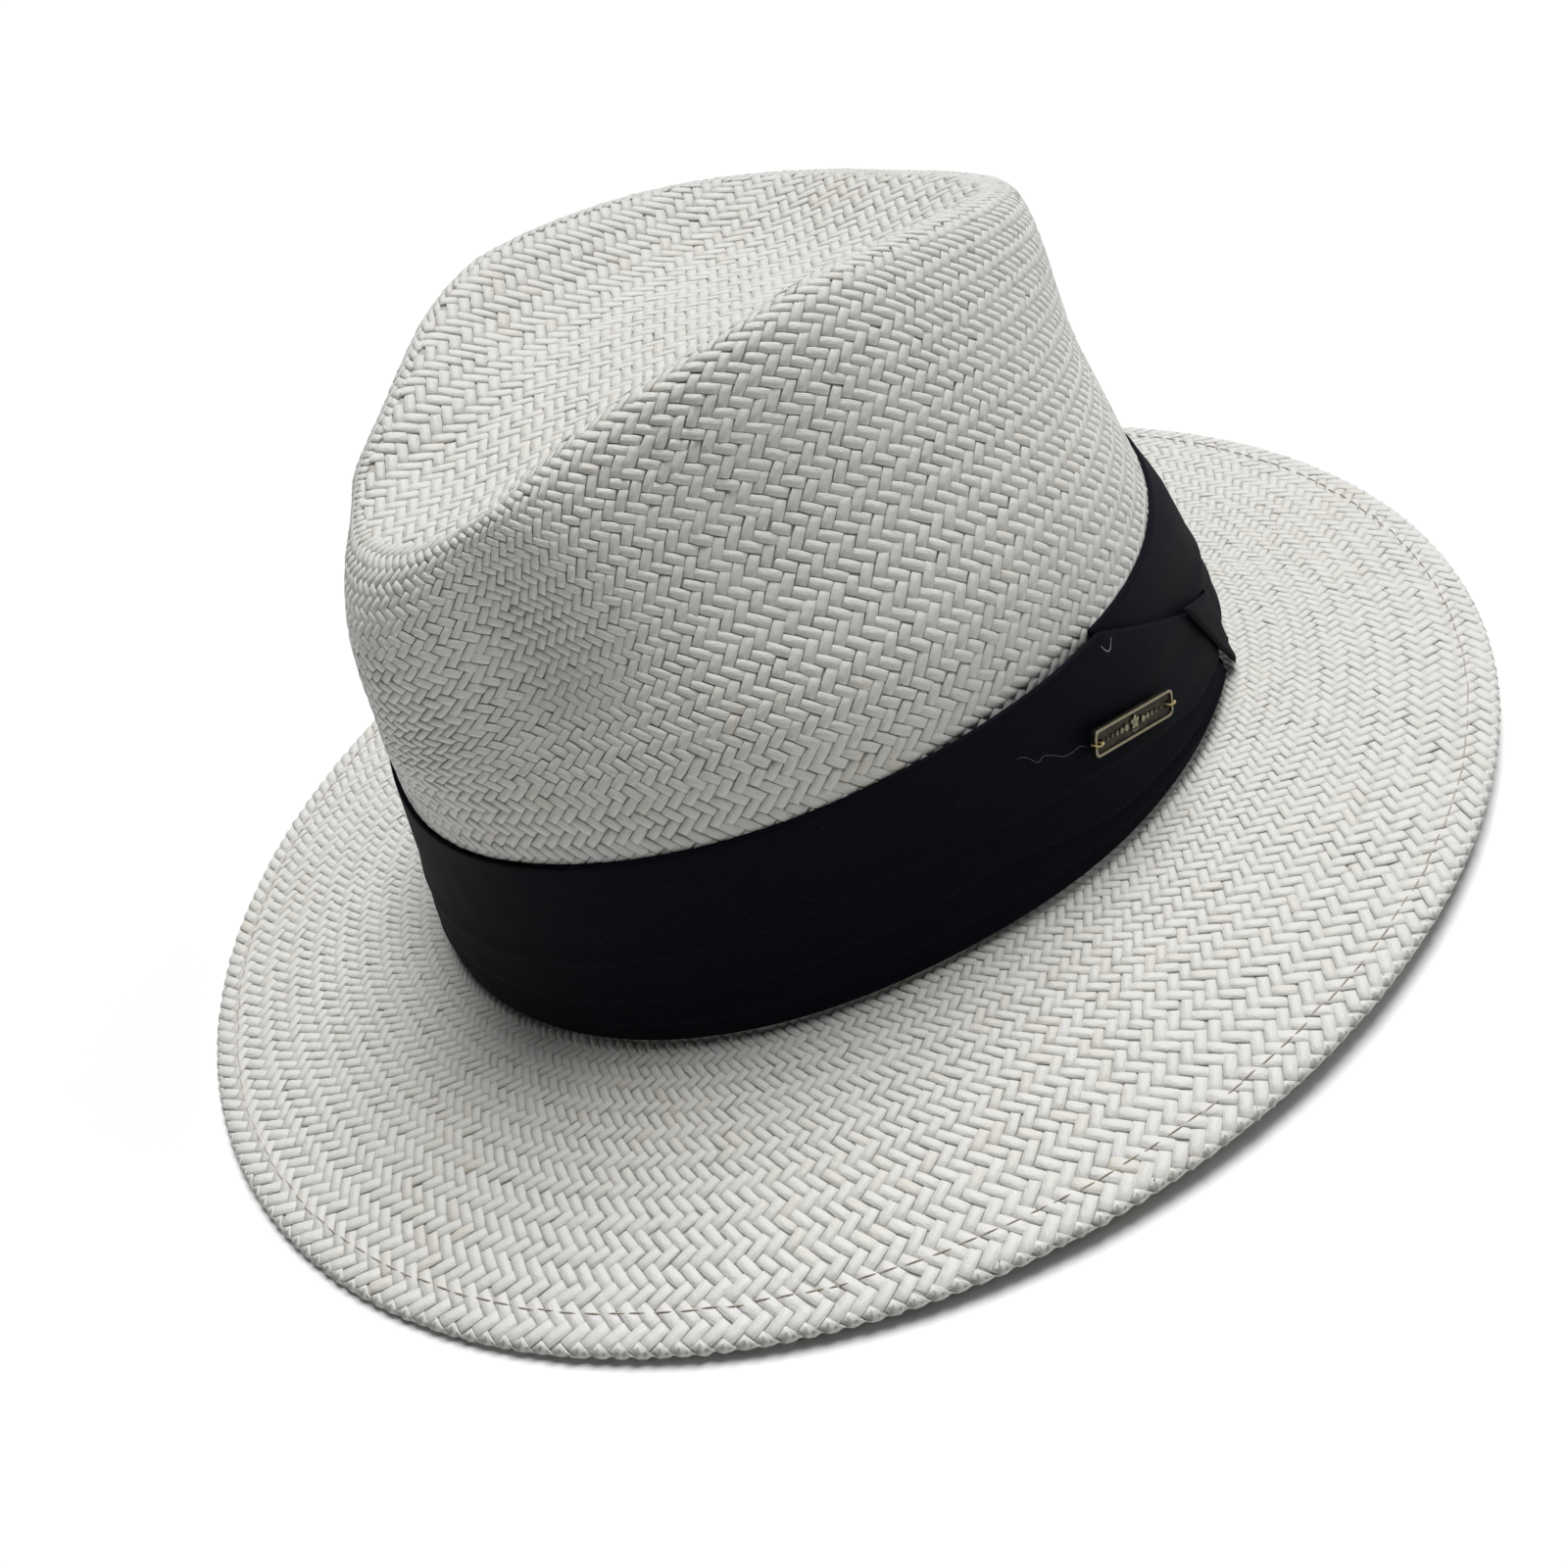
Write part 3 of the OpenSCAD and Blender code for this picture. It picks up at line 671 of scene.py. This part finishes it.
def band_keeper():
    """Cloth keeper wrapped over the end of the band, its foot curled outward."""
    across = np.linspace(0, 1, 40)[:, None]
    up = np.linspace(0, 1, 44)[None, :]
    slant = blend(blend(BAND_STOP + 0.5, KEEPER_STOP, across),
                  blend(KEEPER_START, KEEPER_STOP, across), up)
    height = blend(blend(2, 1, across), blend(1, 0.52, across) * KEEPER_HEIGHT + 3, up)
    stand = (BAND_LAYER + 0.3 + 0.5 * bump(up, 0.05, 0.2) * (1 - across)
             + (BAND_LAYER - 0.1) * (1 - ease(slant, BAND_STOP, KEEPER_STOP - 1.5))
             + 0.12 * np.sin(9 * up + 5 * across) * (1 - bump(across, 0, 0.2)))
    edge = np.minimum(ease(across, 0, 0.06), ease(up, 0, 0.05)) * ease(1 - up, 0, 0.05)
    base = base_rise(slant) + height
    front = stand + 0.35 + 0.55 * edge
    inside, outside = (np.array([wall_path(*line) for line in zip(slant, base, out)])
                       for out in (stand, front))
    rows = np.concatenate([inside, outside[:, ::-1]], axis=1)
    points, faces = capped_strip(rows)
    return new_piece("keeper_cloth", points, faces, cloth_map(rows, rows[..., 1]))


# ---- threads ----
def path_frame(points):
    """Two directions across a path at each of its points, carried along it without twist."""
    ahead = unit(np.gradient(points, axis=0))
    helper = UP if abs(ahead[0][2]) < 0.8 else np.array([1.0, 0.0, 0.0])
    side = []
    for tangent in ahead:
        helper = unit(helper - tangent * (helper @ tangent))
        side.append(helper)
    side = np.array(side)
    return side, np.cross(ahead, side)


def tube(points, radius, sides, taper):
    """Sections of a round tube along points in mm, [point, place round the section]."""
    side, up = path_frame(points)
    turn = full_turn(sides)
    size = radius * (1 - taper * np.abs(np.linspace(-1, 1, len(points))) ** 6)
    ring = side[:, None] * np.cos(turn)[None, :, None] + up[:, None] * np.sin(turn)[None, :, None]
    return points[:, None] + ring * size[:, None, None]


def plied_thread(name, points, radius, turns):
    """A two-ply thread: two strands wound round each other along the points."""
    side, up = path_frame(points)
    pieces = []
    for ply in (0, 1):
        phase = (np.linspace(0, 2 * math.pi * turns, len(points)) + ply * math.pi)[:, None]
        offset = (side * np.cos(phase) + up * np.sin(phase)) * radius * 0.46
        pieces.append(new_piece(name, *capped_strip(tube(points + offset, radius * 0.56, 6, 0.5))))
    return pieces


def stitch_row(name, centres, aheads, ups, length, radius, sink):
    """Many short stitches, each a tube whose two ends dive into the cloth."""
    t = np.linspace(-1, 1, 9)
    count, sides = len(centres), 6
    arch = 1 - np.abs(t) ** 3.2
    turn = full_turn(sides)
    across = np.cross(aheads, ups)
    line = (centres[:, None] + aheads[:, None] * (t * length / 2)[None, :, None]
            + ups[:, None] * (arch * (radius + sink) - sink)[None, :, None])
    ring = (across[:, None, None] * np.cos(turn)[None, None, :, None]
            + ups[:, None, None] * np.sin(turn)[None, None, :, None]) * radius
    rows = line[:, :, None] + ring
    vertices, faces = capped_strip(rows[0])
    faces = (faces[None] + (np.arange(count) * len(vertices))[:, None, None]).reshape(-1, 4)
    return new_piece(name, rows, faces[:, ::-1])


def hem_stitches(skin, run, name, pitch, seed):
    """Stitches along the hem at one distance along a skin's path."""
    rng = np.random.default_rng(seed)
    girth = np.interp(run, skin.run, skin.girth)
    count = int(girth / pitch)
    a = (np.arange(count) + rng.uniform(-0.12, 0.12, count)) * 360 / count
    wander = run + rng.normal(0, 0.15, count) + 0.5 * np.sin(np.radians(a * 3))
    here = skin.at(a, wander, 0 * a + 0.2)
    ahead = unit(skin.at(a + 0.3, wander, 0 * a + 0.2) - here)
    up = unit(skin.at(a, wander, 0 * a + 1.2) - here)
    return stitch_row(name, here, ahead, up, pitch * 0.9, THREAD * 0.2, 0.35)


# ---- badge ----
def badge_matrix():
    a = np.array([BADGE_ANGLE])
    z = np.array([[BADGE_HEIGHT]])
    foot = on_wall(a, z, np.array([[band_outer(360 + BADGE_ANGLE) + 0.15]]))[0, 0]
    out = base_out(a)[0]
    turn = math.atan2(out[1], out[0]) + math.pi / 2
    return (Matrix.Translation((foot + CENTRE) * MM) @ Matrix.Rotation(turn, 4, "Z")
            @ Matrix.Rotation(math.radians(90 - WALL_SLOPE), 4, "X")
            @ Matrix.Rotation(math.radians(-BADGE_TILT), 4, "Z"))


def circle(x, y, rx, ry=None, tilt=0.0, count=28):
    ry = rx if ry is None else ry
    turn = full_turn(count)
    px, py = rx * np.cos(turn), ry * np.sin(turn)
    c, s = math.cos(tilt), math.sin(tilt)
    return np.stack([x + px * c - py * s, y + px * s + py * c], axis=-1)


def rounded_outline(length, width, corner, count=12):
    points = []
    for k, (sx, sy) in enumerate([(1, 1), (-1, 1), (-1, -1), (1, -1)]):
        turn = np.radians(np.linspace(90 * k, 90 * k + 90, count))
        points.append(np.stack([sx * (length / 2 - corner) + corner * np.cos(turn),
                                sy * (width / 2 - corner) + corner * np.sin(turn)], axis=-1))
    return np.concatenate(points)


def cut_plate(name, outlines, low, high, bevel):
    """A flat plate with rounded edges between two heights in mm; later outlines cut holes."""
    curve = bpy.data.curves.new(name, "CURVE")
    curve.dimensions = "2D"
    curve.fill_mode = "BOTH"
    curve.extrude = ((high - low) / 2 - bevel) * MM
    curve.bevel_depth = bevel * MM
    curve.bevel_resolution = 3
    curve.offset = -bevel * MM
    for outline in outlines:
        spline = curve.splines.new("POLY")
        spline.points.add(len(outline) - 1)
        spline.points.foreach_set("co", np.concatenate(
            [outline * MM, np.zeros((len(outline), 1)), np.ones((len(outline), 1))], axis=1).ravel())
        spline.use_cyclic_u = True
    shape = add_object(name, curve)
    bpy.context.view_layer.update()
    mesh = bpy.data.meshes.new_from_object(shape.evaluated_get(bpy.context.evaluated_depsgraph_get()))
    bpy.data.objects.remove(shape)
    mesh.transform(Matrix.Translation((0, 0, (low + high) / 2 * MM)))
    return add_object(name, mesh)


def badge_plate():
    """Cast plate with a raised rim, two sewing holes, a flower and two rows of round bosses."""
    holes = [circle(x * BADGE_HOLE_PITCH / 2, 0, BADGE_HOLE / 2) for x in (-1, 1)]
    outer = rounded_outline(BADGE_LENGTH, BADGE_WIDTH, BADGE_CORNER)
    inner = rounded_outline(BADGE_LENGTH - 2 * BADGE_RIM, BADGE_WIDTH - 2 * BADGE_RIM, 0.9)
    floor_z = BADGE_THICKNESS - BADGE_FLOOR
    top = floor_z + 0.36
    parts = [cut_plate("plate", [outer] + holes, 0, floor_z, 0.12),
             cut_plate("rim", [outer, inner], 0.1, BADGE_THICKNESS, 0.2)]

    def cast(kind, outline, height, bevel):
        parts.append(cut_plate(kind, [outline], floor_z - 0.1, height, bevel))

    for k in range(5):
        angle = math.radians(90 + 72 * k)
        x, y = math.cos(angle) * 0.85, 0.3 + math.sin(angle) * 0.85
        cast("petal", circle(x, y, 0.70, 0.52, angle, 20), top, 0.16)
    cast("heart", circle(0, 0.3, 0.42), top + 0.2, 0.2)
    cast("stem", np.array([[-0.14, -1.9], [0.14, -1.9], [0.14, -0.4], [-0.14, -0.4]]), top - 0.08, 0.06)
    for side in (-1, 1):
        cast("leaf", circle(side * 0.62, -1.4, 0.52, 0.22, side * 0.6, 16), top - 0.05, 0.1)
        for k in range(5):
            boss = circle(side * (3.0 + 1.6 * k), 0, 0.74 - 0.07 * k, count=22)
            cast("boss", boss, top - 0.04 * k, 0.17)
    plate = join_pieces("cast_badge", parts)
    heights = np.zeros(len(plate.data.vertices) * 3)
    plate.data.vertices.foreach_get("co", heights)
    proud = np.clip((heights[2::3] / MM - floor_z) / (BADGE_THICKNESS - floor_z), 0, 1)
    plate.data.attributes.new("proud", "FLOAT", "POINT").data.foreach_set("value", proud)
    plate.data.transform(badge_matrix())
    plate.data.polygons.foreach_set("use_smooth", np.zeros(len(plate.data.polygons), bool))
    return plate


def badge_points(local):
    """Points given on the badge, in mm in the hat's own frame."""
    matrix = np.array(badge_matrix())
    return (np.asarray(local) * MM) @ matrix[:3, :3].T / MM + matrix[:3, 3] / MM - CENTRE


def badge_loops():
    pieces = []
    for side in (-1, 1):
        turn = np.radians(np.linspace(0, 180, 22))
        leg = BADGE_THICKNESS + 0.05
        x = side * (BADGE_HOLE_PITCH / 2 + LOOP_RADIUS) + LOOP_RADIUS * np.cos(turn)
        z = leg + LOOP_RADIUS * np.sin(turn) * 0.8
        arc = np.stack([x, 0.12 * np.sin(turn * 2), z], axis=-1)
        down = np.linspace(leg, 0.05, 6)[1:]
        ends = [np.stack([0 * down + arc[k][0], 0 * down, down], axis=-1) for k in (0, -1)]
        path = badge_points(np.concatenate([ends[0][::-1], arc, ends[1]]))
        pieces += plied_thread("badge_loop", path, LOOP_THREAD / 2, 5)
    return join_pieces("sewing_loops", pieces)


def loose_thread(name, a, z, rise, turns):
    """A thread that lies a rise in mm over the face of the band."""
    path = wall_path(a, z, band_outer(360 + a) + 0.3 + rise)
    return join_pieces(name, plied_thread("end", path, LOOSE_RADIUS, turns))


def badge_thread_end():
    t = np.linspace(0, 1, 90)
    a = 84.4 - 9.6 * t + 0.6 * np.sin(t * 9) * t
    z = 29.8 + 7.6 * t + 0.7 * np.sin(t * 14.7)
    return loose_thread("dark_loose_thread", a, z, 0.4 * np.abs(np.sin(t * 10.5)), 22)


def band_thread_end():
    t = np.linspace(0, 1, 60)
    a = 91.2 + 1.8 * t
    z = 45.4 - 2.2 * np.sin(math.pi * t)
    return loose_thread("pale_loose_thread", a, z, 0.4 * t, 12)


# ---- inside the crown ----
def lining(a, z, depth):
    """Points at heights above the crown base, a depth in from the inside of the straw."""
    return on_wall(a, base_rise(a)[:, None] + z, -(STRAW + LINING_GAP) - depth)


def lining_map(rows, a):
    return cloth_map(rows, np.radians(a)[:, None] * LINING_RADIUS)


def sweatband():
    a = angles(720)
    z = np.concatenate([[1.6, 1.7, 2.0], np.linspace(2.6, SWEATBAND_HEIGHT - 1.2, 22),
                        [SWEATBAND_HEIGHT - 0.5, SWEATBAND_HEIGHT - 0.1, SWEATBAND_HEIGHT]])
    round_off = np.minimum(ease(z, 1.4, 2.2), ease(SWEATBAND_HEIGHT + 0.2 - z, 0, 0.8))
    ripple = 0.08 * np.sin(np.radians(a * 9))[:, None] * np.sin(z * 0.3)[None]
    rib = 0.05 * np.cos(np.radians(a * 180))[:, None]
    face = 0.2 + (SWEATBAND_THICKNESS - 0.2) * round_off[None] + (ripple + rib) * round_off[None]
    tall = np.broadcast_to(z[None], (len(a), len(z)))
    inside = lining(a, tall, face)
    outside = lining(a, tall[:, ::-1], 0 * tall)
    rows = np.concatenate([inside, outside], axis=1)
    return new_piece("ribbed_sweatband", rows, closed_faces(rows), lining_map(rows, a))


def sweatband_stitches():
    count = 150
    a = angles(count)
    z = np.full((count, 1), 4.5)
    depth = np.full((count, 1), SWEATBAND_THICKNESS + 0.02)
    here = lining(a, z, depth)[:, 0]
    ahead = unit(lining(a + 0.3, z, depth)[:, 0] - here)
    return stitch_row("sweatband_stitches", here, ahead, -base_out(a), 3.1, THREAD / 2 * 0.8, 0.45)


def size_label():
    """Blank woven label with a turned edge, sewn to the back of the sweatband."""
    half = LABEL_WIDTH / 2 / (HALF_WIDTH * math.pi / 180)
    a = 180 + np.linspace(-half, half, 40)
    z = LABEL_FOOT + np.linspace(0, LABEL_HEIGHT, 24)
    side = np.minimum(ease(np.arange(40), 0, 2.5), ease(39.0 - np.arange(40), 0, 2.5))[:, None]
    ends = np.minimum(ease(z - LABEL_FOOT, 0, 0.8), ease(LABEL_FOOT + LABEL_HEIGHT - z, 0, 0.8))[None]
    face = SWEATBAND_THICKNESS + 0.2 + 0.36 * np.minimum(side, ends) + 0.06 * bump(ends * side, 0.5, 0.3)
    tall = np.broadcast_to(z[None], face.shape)
    rows = np.concatenate([lining(a, tall, face),
                           lining(a, tall[:, ::-1], SWEATBAND_THICKNESS + 0.1 + 0 * face)], axis=1)
    points, faces = capped_strip(rows)
    return new_piece("blank_label", points, faces[:, ::-1], lining_map(rows, a))


def brim_wire():
    a = angles(360)
    centre = fold_rows(a, np.array([90.0]), 0.0)[:, 0]
    turn = angles(10)
    out = base_out(a)
    rows = centre[:, None] + (out[:, None] * sin_deg(turn)[None, :, None]
                              + UP * cos_deg(turn)[None, :, None]) * (WIRE / 2 - 0.02)
    return new_piece("hem_wire", rows, closed_faces(rows))


# ---- materials ----
class Shader:
    """A node material built up a step at a time."""

    def __init__(self, name, roughness, metallic=0.0):
        self.material = bpy.data.materials.new(name)
        self.material.use_nodes = True
        self.tree = self.material.node_tree
        self.surface = self.tree.nodes["Principled BSDF"]
        self.set("Roughness", roughness)
        self.set("Metallic", metallic)

    def feed(self, value, socket):
        """Link an output to an input, or set the input to a constant."""
        if isinstance(value, bpy.types.NodeSocket):
            self.tree.links.new(value, socket)
        elif socket.type == "RGBA":
            socket.default_value = (*value, 1.0)
        else:
            socket.default_value = value

    def node(self, kind, output, **inputs):
        """An output of a new node; an underscore in an input's name stands for a space."""
        node = self.tree.nodes.new("ShaderNode" + kind)
        for name, value in inputs.items():
            self.feed(value, node.inputs[name.replace("_", " ")])
        return node.outputs[output]

    def attribute(self, name, field="Vector"):
        output = self.node("Attribute", field)
        output.node.attribute_name = name
        return output

    def position(self):
        return self.node("TexCoord", "Object")

    def scaled(self, vector, scale):
        return self.node("Mapping", "Vector", Vector=vector, Scale=scale)

    def noise(self, vector, scale, detail=3.0, roughness=0.55):
        return self.node("TexNoise", "Fac", Vector=vector, Scale=scale, Detail=detail,
                         Roughness=roughness)

    def wave(self, vector, scale, direction, distortion):
        output = self.node("TexWave", "Fac", Vector=vector, Scale=scale, Distortion=distortion)
        output.node.bands_direction = direction
        return output

    def ramp(self, value, low, high, start=0.0, end=1.0):
        return self.node("MapRange", "Result", Value=value, From_Min=low, From_Max=high,
                         To_Min=start, To_Max=end)

    def mix(self, factor, first, second):
        node = self.tree.nodes.new("ShaderNodeMix")
        node.data_type = "RGBA"
        for index, value in ((0, factor), (6, first), (7, second)):
            self.feed(value, node.inputs[index])
        return node.outputs[2]

    def math(self, operation, first, second):
        node = self.tree.nodes.new("ShaderNodeMath")
        node.operation = operation
        self.feed(first, node.inputs[0])
        self.feed(second, node.inputs[1])
        return node.outputs[0]

    def set(self, name, value):
        self.feed(value, self.surface.inputs[name])

    def relief(self, height, distance, strength):
        """Bump on top of any bump that is already there, with its distance in metres."""
        normal = self.node("Bump", "Normal", Height=height, Distance=distance, Strength=strength)
        previous = self.surface.inputs["Normal"]
        if previous.is_linked:
            self.feed(previous.links[0].from_socket, normal.node.inputs["Normal"])
        self.feed(normal, previous)


def straw_material():
    """Pressed paper strand: fibres along its length, creamier strands here and there."""
    s = Shader("straw", 0.55)
    s.set("Specular IOR Level", 0.35)
    grain = s.attribute("grain")
    tone = s.attribute("tone", "Fac")
    fibres = s.noise(s.scaled(grain, (0.5, 5.0, 0.0)), 1.0, 4.0, 0.6)
    folds = s.noise(s.scaled(grain, (0.9, 1.6, 0.0)), 0.8, 2.0)
    patch = s.noise(s.position(), 26.0, 2.0)
    cream_here = s.math("MULTIPLY", s.ramp(tone, 0.55, 1.0), s.ramp(patch, 0.45, 0.68))
    base = s.mix(cream_here, WHITE, CREAM)
    base = s.mix(s.ramp(tone, 0.0, 1.0, 0.0, 0.16), base, SHADE)
    base = s.mix(s.ramp(fibres, 0.35, 0.75, 0.0, 0.14), base, SHADE)
    s.set("Base Color", base)
    s.set("Roughness", s.ramp(fibres, 0.3, 0.7, 0.48, 0.66))
    s.relief(folds, 0.00035, 0.55)
    s.relief(fibres, 0.00012, 0.6)
    return s.material


def gap_shade_material():
    s = Shader("straw_shadow", 0.8)
    blotch = s.noise(s.position(), 900.0, 2.0)
    # painted shade: the core's darker colours stand for the shade in the gaps and pinholes between the
    # floats
    s.set("Base Color", s.mix(blotch, GAP_SHADE_DARK, GAP_SHADE_PALE))
    s.relief(blotch, 0.0002, 0.5)
    return s.material


def cloth_material(name, dark, light, pitch, rough, specks):
    """Plain-woven cotton: crossing threads, a faint slub, and a little lint."""
    s = Shader(name, rough)
    s.set("Specular IOR Level", 0.09)
    cloth = s.attribute("cloth")
    warp, weft = (s.math("MULTIPLY", s.wave(cloth, 0.314 / pitch, way, 0.3), 0.5) for way in "XY")
    threads = s.math("ADD", warp, weft)
    slub = s.noise(s.scaled(cloth, (0.12, 1.3, 1.0)), 1.0, 3.0)
    fade = s.noise(s.position(), 22.0, 3.0)
    base = s.mix(s.ramp(threads, 0.1, 0.9), dark, light)
    base = s.mix(s.ramp(slub, 0.35, 0.7, 0.0, 0.45), base, dark)
    base = s.mix(s.ramp(fade, 0.35, 0.75, 0.0, 0.4), base, light)
    if specks:
        base = s.mix(s.ramp(s.noise(s.position(), 1500.0, 1.0), 0.79, 0.82), base, LINT)
    s.set("Base Color", base)
    s.relief(slub, 0.00025, 0.35)
    s.relief(threads, 0.00012, 0.5)
    return s.material


def thread_material(name, colour, dark):
    s = Shader(name, 0.62)
    s.set("Sheen Weight", 0.2)
    fibres = s.noise(s.position(), 2600.0, 3.0)
    # painted shade: noise mixes the darker second colour in among the fibres
    s.set("Base Color", s.mix(fibres, dark, colour))
    s.relief(fibres, 0.0001, 0.5)
    return s.material


def badge_material():
    """Antiqued brass: dark in the recesses, rubbed bright where it stands proud."""
    s = Shader("antique_brass", 0.45, 0.9)
    place = s.position()
    speckle = s.noise(place, 2200.0, 4.0, 0.65)
    stain = s.noise(place, 420.0, 3.0)
    rubbed = s.ramp(s.attribute("proud", "Fac"), 0.45, 0.9)
    base = s.mix(s.ramp(stain, 0.35, 0.7), BRASS_DARK, BRASS_STAIN)
    base = s.mix(s.math("MULTIPLY", rubbed, 0.85), base, BRASS_RUBBED)
    base = s.mix(s.ramp(speckle, 0.55, 0.75, 0.0, 0.6), base, BRASS_SPECK)
    s.set("Base Color", base)
    s.set("Roughness", s.ramp(speckle, 0.3, 0.7, 0.32, 0.62))
    s.relief(speckle, 0.00012, 0.6)
    return s.material


def wire_material():
    s = Shader("spring_wire", 0.35, 1.0)
    drawn = s.noise(s.scaled(s.position(), (900.0, 900.0, 60.0)), 1.0, 2.0)
    s.set("Base Color", s.mix(drawn, WIRE_DARK, WIRE_LIGHT))
    s.set("Roughness", s.ramp(drawn, 0.3, 0.7, 0.28, 0.45))
    return s.material


# ---- camera, floor and light ----
VIEW_AZIMUTH, VIEW_ELEVATION, VIEW_ROLL = 50.692, 35.457, -18.411
VIEW_DISTANCE, VIEW_PAN, VIEW_TILT = 416.49, -1.4515, -1.6189
LENS, SENSOR = 39.88, 36.0
FLOOR_REACH, WORLD_STRENGTH = 6.0, 0.03
# name, bearing from the front, angle above the floor, strength, softness in degrees
SUNS = [("key", 194, 70, 3.62, 36), ("kicker", 140, 36, 0.34, 30)]


def turned(first, second, angle):
    """Two directions at right angles, turned towards each other by an angle."""
    c, s = math.cos(math.radians(angle)), math.sin(math.radians(angle))
    return first * c + second * s, second * c - first * s


def direction(azimuth, elevation):
    """Unit vector away from the hat, by its bearing from the front and its angle above the floor."""
    az, el = math.radians(azimuth), math.radians(elevation)
    return np.array([math.sin(az) * math.cos(el), -math.cos(az) * math.cos(el), math.sin(el)])


def aim(thing, right, up, back, place=(0, 0, 0)):
    """Point an object's axes in three directions, at a place in metres."""
    matrix = np.eye(4)
    for column, values in enumerate((right, up, back, place)):
        matrix[:3, column] = values
    thing.matrix_world = Matrix(matrix.tolist())


def make_camera():
    toward = direction(VIEW_AZIMUTH, VIEW_ELEVATION)
    ahead = -toward
    right = unit(np.cross(ahead, UP))
    right, up = turned(right, np.cross(right, ahead), VIEW_ROLL)
    ahead, right = turned(ahead, right, VIEW_PAN)
    ahead, up = turned(ahead, up, VIEW_TILT)
    camera = bpy.data.cameras.new("camera")
    camera.lens = LENS
    camera.sensor_width = SENSOR
    camera.clip_start, camera.clip_end = 0.01, 50
    eye = add_object("camera", camera)
    aim(eye, right, up, -ahead, (toward * VIEW_DISTANCE + CENTRE) * MM)
    bpy.context.scene.camera = eye


def make_floor():
    mesh = bpy.data.meshes.new("floor")
    corners = [(x * FLOOR_REACH, y * FLOOR_REACH, 0) for x, y in ((-1, -1), (1, -1), (1, 1), (-1, 1))]
    mesh.from_pydata(corners, [], [(0, 1, 2, 3)])
    s = Shader("floor", 0.9)
    s.set("Base Color", FLOOR_WHITE)
    s.set("Specular IOR Level", 0.0)
    mesh.materials.append(s.material)
    add_object("floor", mesh)


def sun(name, azimuth, elevation, strength, softness):
    """A broad, even light from one side, as a large soft box far away."""
    data = bpy.data.lights.new(name, "SUN")
    data.energy = strength
    data.angle = math.radians(softness)
    toward = direction(azimuth, elevation)
    side = unit(np.cross(UP, toward))
    aim(add_object(name, data), side, np.cross(toward, side), toward)


def make_light():
    world = bpy.data.worlds.new("studio")
    world.use_nodes = True
    background = world.node_tree.nodes["Background"]
    background.inputs["Color"].default_value = (1, 1, 1, 1)
    background.inputs["Strength"].default_value = WORLD_STRENGTH
    bpy.context.scene.world = world
    bpy.context.scene.view_settings.view_transform = "Standard"
    for light in SUNS:
        sun(*light)


# ---- putting it together ----
def run_at(skin, u):
    """Distance along a skin's path where the straw's profile reaches u."""
    order = np.argsort(skin.u)
    return float(np.interp(u, skin.u[order], skin.run[order]))


def ring_stretch(name, skin, strands, u_from, u_to, shape, seed):
    return ring_weave(name, skin, strands, run_at(skin, u_from), run_at(skin, u_to), shape, seed)


def finish_thread(piece, name, colours, node):
    finish_piece(piece, thread_material(name, *colours), node)


def make_straw():
    outer, inner = outer_skin(), inner_skin()
    straw = straw_material()
    finish_piece(straw_core(), gap_shade_material(), "woven_body")
    pieces = ring_weave("brim_top", outer, BRIM_STRANDS, 0.8, run_at(outer, BRIM_END_U), FINE, 11)
    pieces += ring_stretch("crown_wall", outer, CROWN_STRANDS, CROWN_START_U, TIP_START_U, FINE, 23)
    pieces += tip_weave("crown_tip", outer, TIP_START_U, FINE, 37)
    pieces += ring_stretch("brim_under", inner, BRIM_STRANDS, 4.9, HEM_U + 0.1, COARSE, 41)
    pieces += ring_stretch("crown_inside", inner, CROWN_STRANDS, TIP_START_U, 5.2, COARSE, 53)
    pieces += tip_weave("tip_inside", inner, TIP_START_U, COARSE, 61)
    for piece in pieces:
        finish_piece(piece, straw, "woven_body")
    tan = thread_material("tan_thread", *TAN_THREAD)
    for name, run, seed in (("top", run_at(outer, STITCH_U), 71), ("under", 1.2, 72)):
        stitches = hem_stitches(outer, run, "hem_stitches_" + name, 4.6, seed)
        finish_piece(stitches, tan, "hem_stitching")
    finish_piece(brim_wire(), wire_material(), "brim_wire")


def make_band():
    cloth = cloth_material("band_cloth", NAVY, NAVY_WORN, 0.42, 0.75, True)
    band = finish_piece(hat_band(), cloth, "hat_band")
    keeper = finish_piece(band_keeper(), cloth, "band_keeper")
    finish_piece(badge_plate(), badge_material(), "badge_plate")
    finish_thread(badge_loops(), "yellow_thread", YELLOW_THREAD, "badge_loops")
    finish_thread(badge_thread_end(), "dark_thread", DARK_THREAD, "badge_thread_end")
    finish_thread(band_thread_end(), "pale_thread", PALE_THREAD, "band_thread_end")


def make_inside():
    cloth = cloth_material("sweatband_cloth", LINING, LINING_WORN, 0.6, 0.8, False)
    band = finish_piece(sweatband(), cloth, "sweatband")
    finish_thread(sweatband_stitches(), "black_thread", BLACK_THREAD,
                  "sweatband_stitching")
    label_cloth = cloth_material("label_cloth", LABEL, LABEL_WORN, 0.35, 0.7, False)
    label = finish_piece(size_label(), label_cloth, "size_label")


make_camera()
make_straw()
make_band()
make_inside()
make_floor()
make_light()
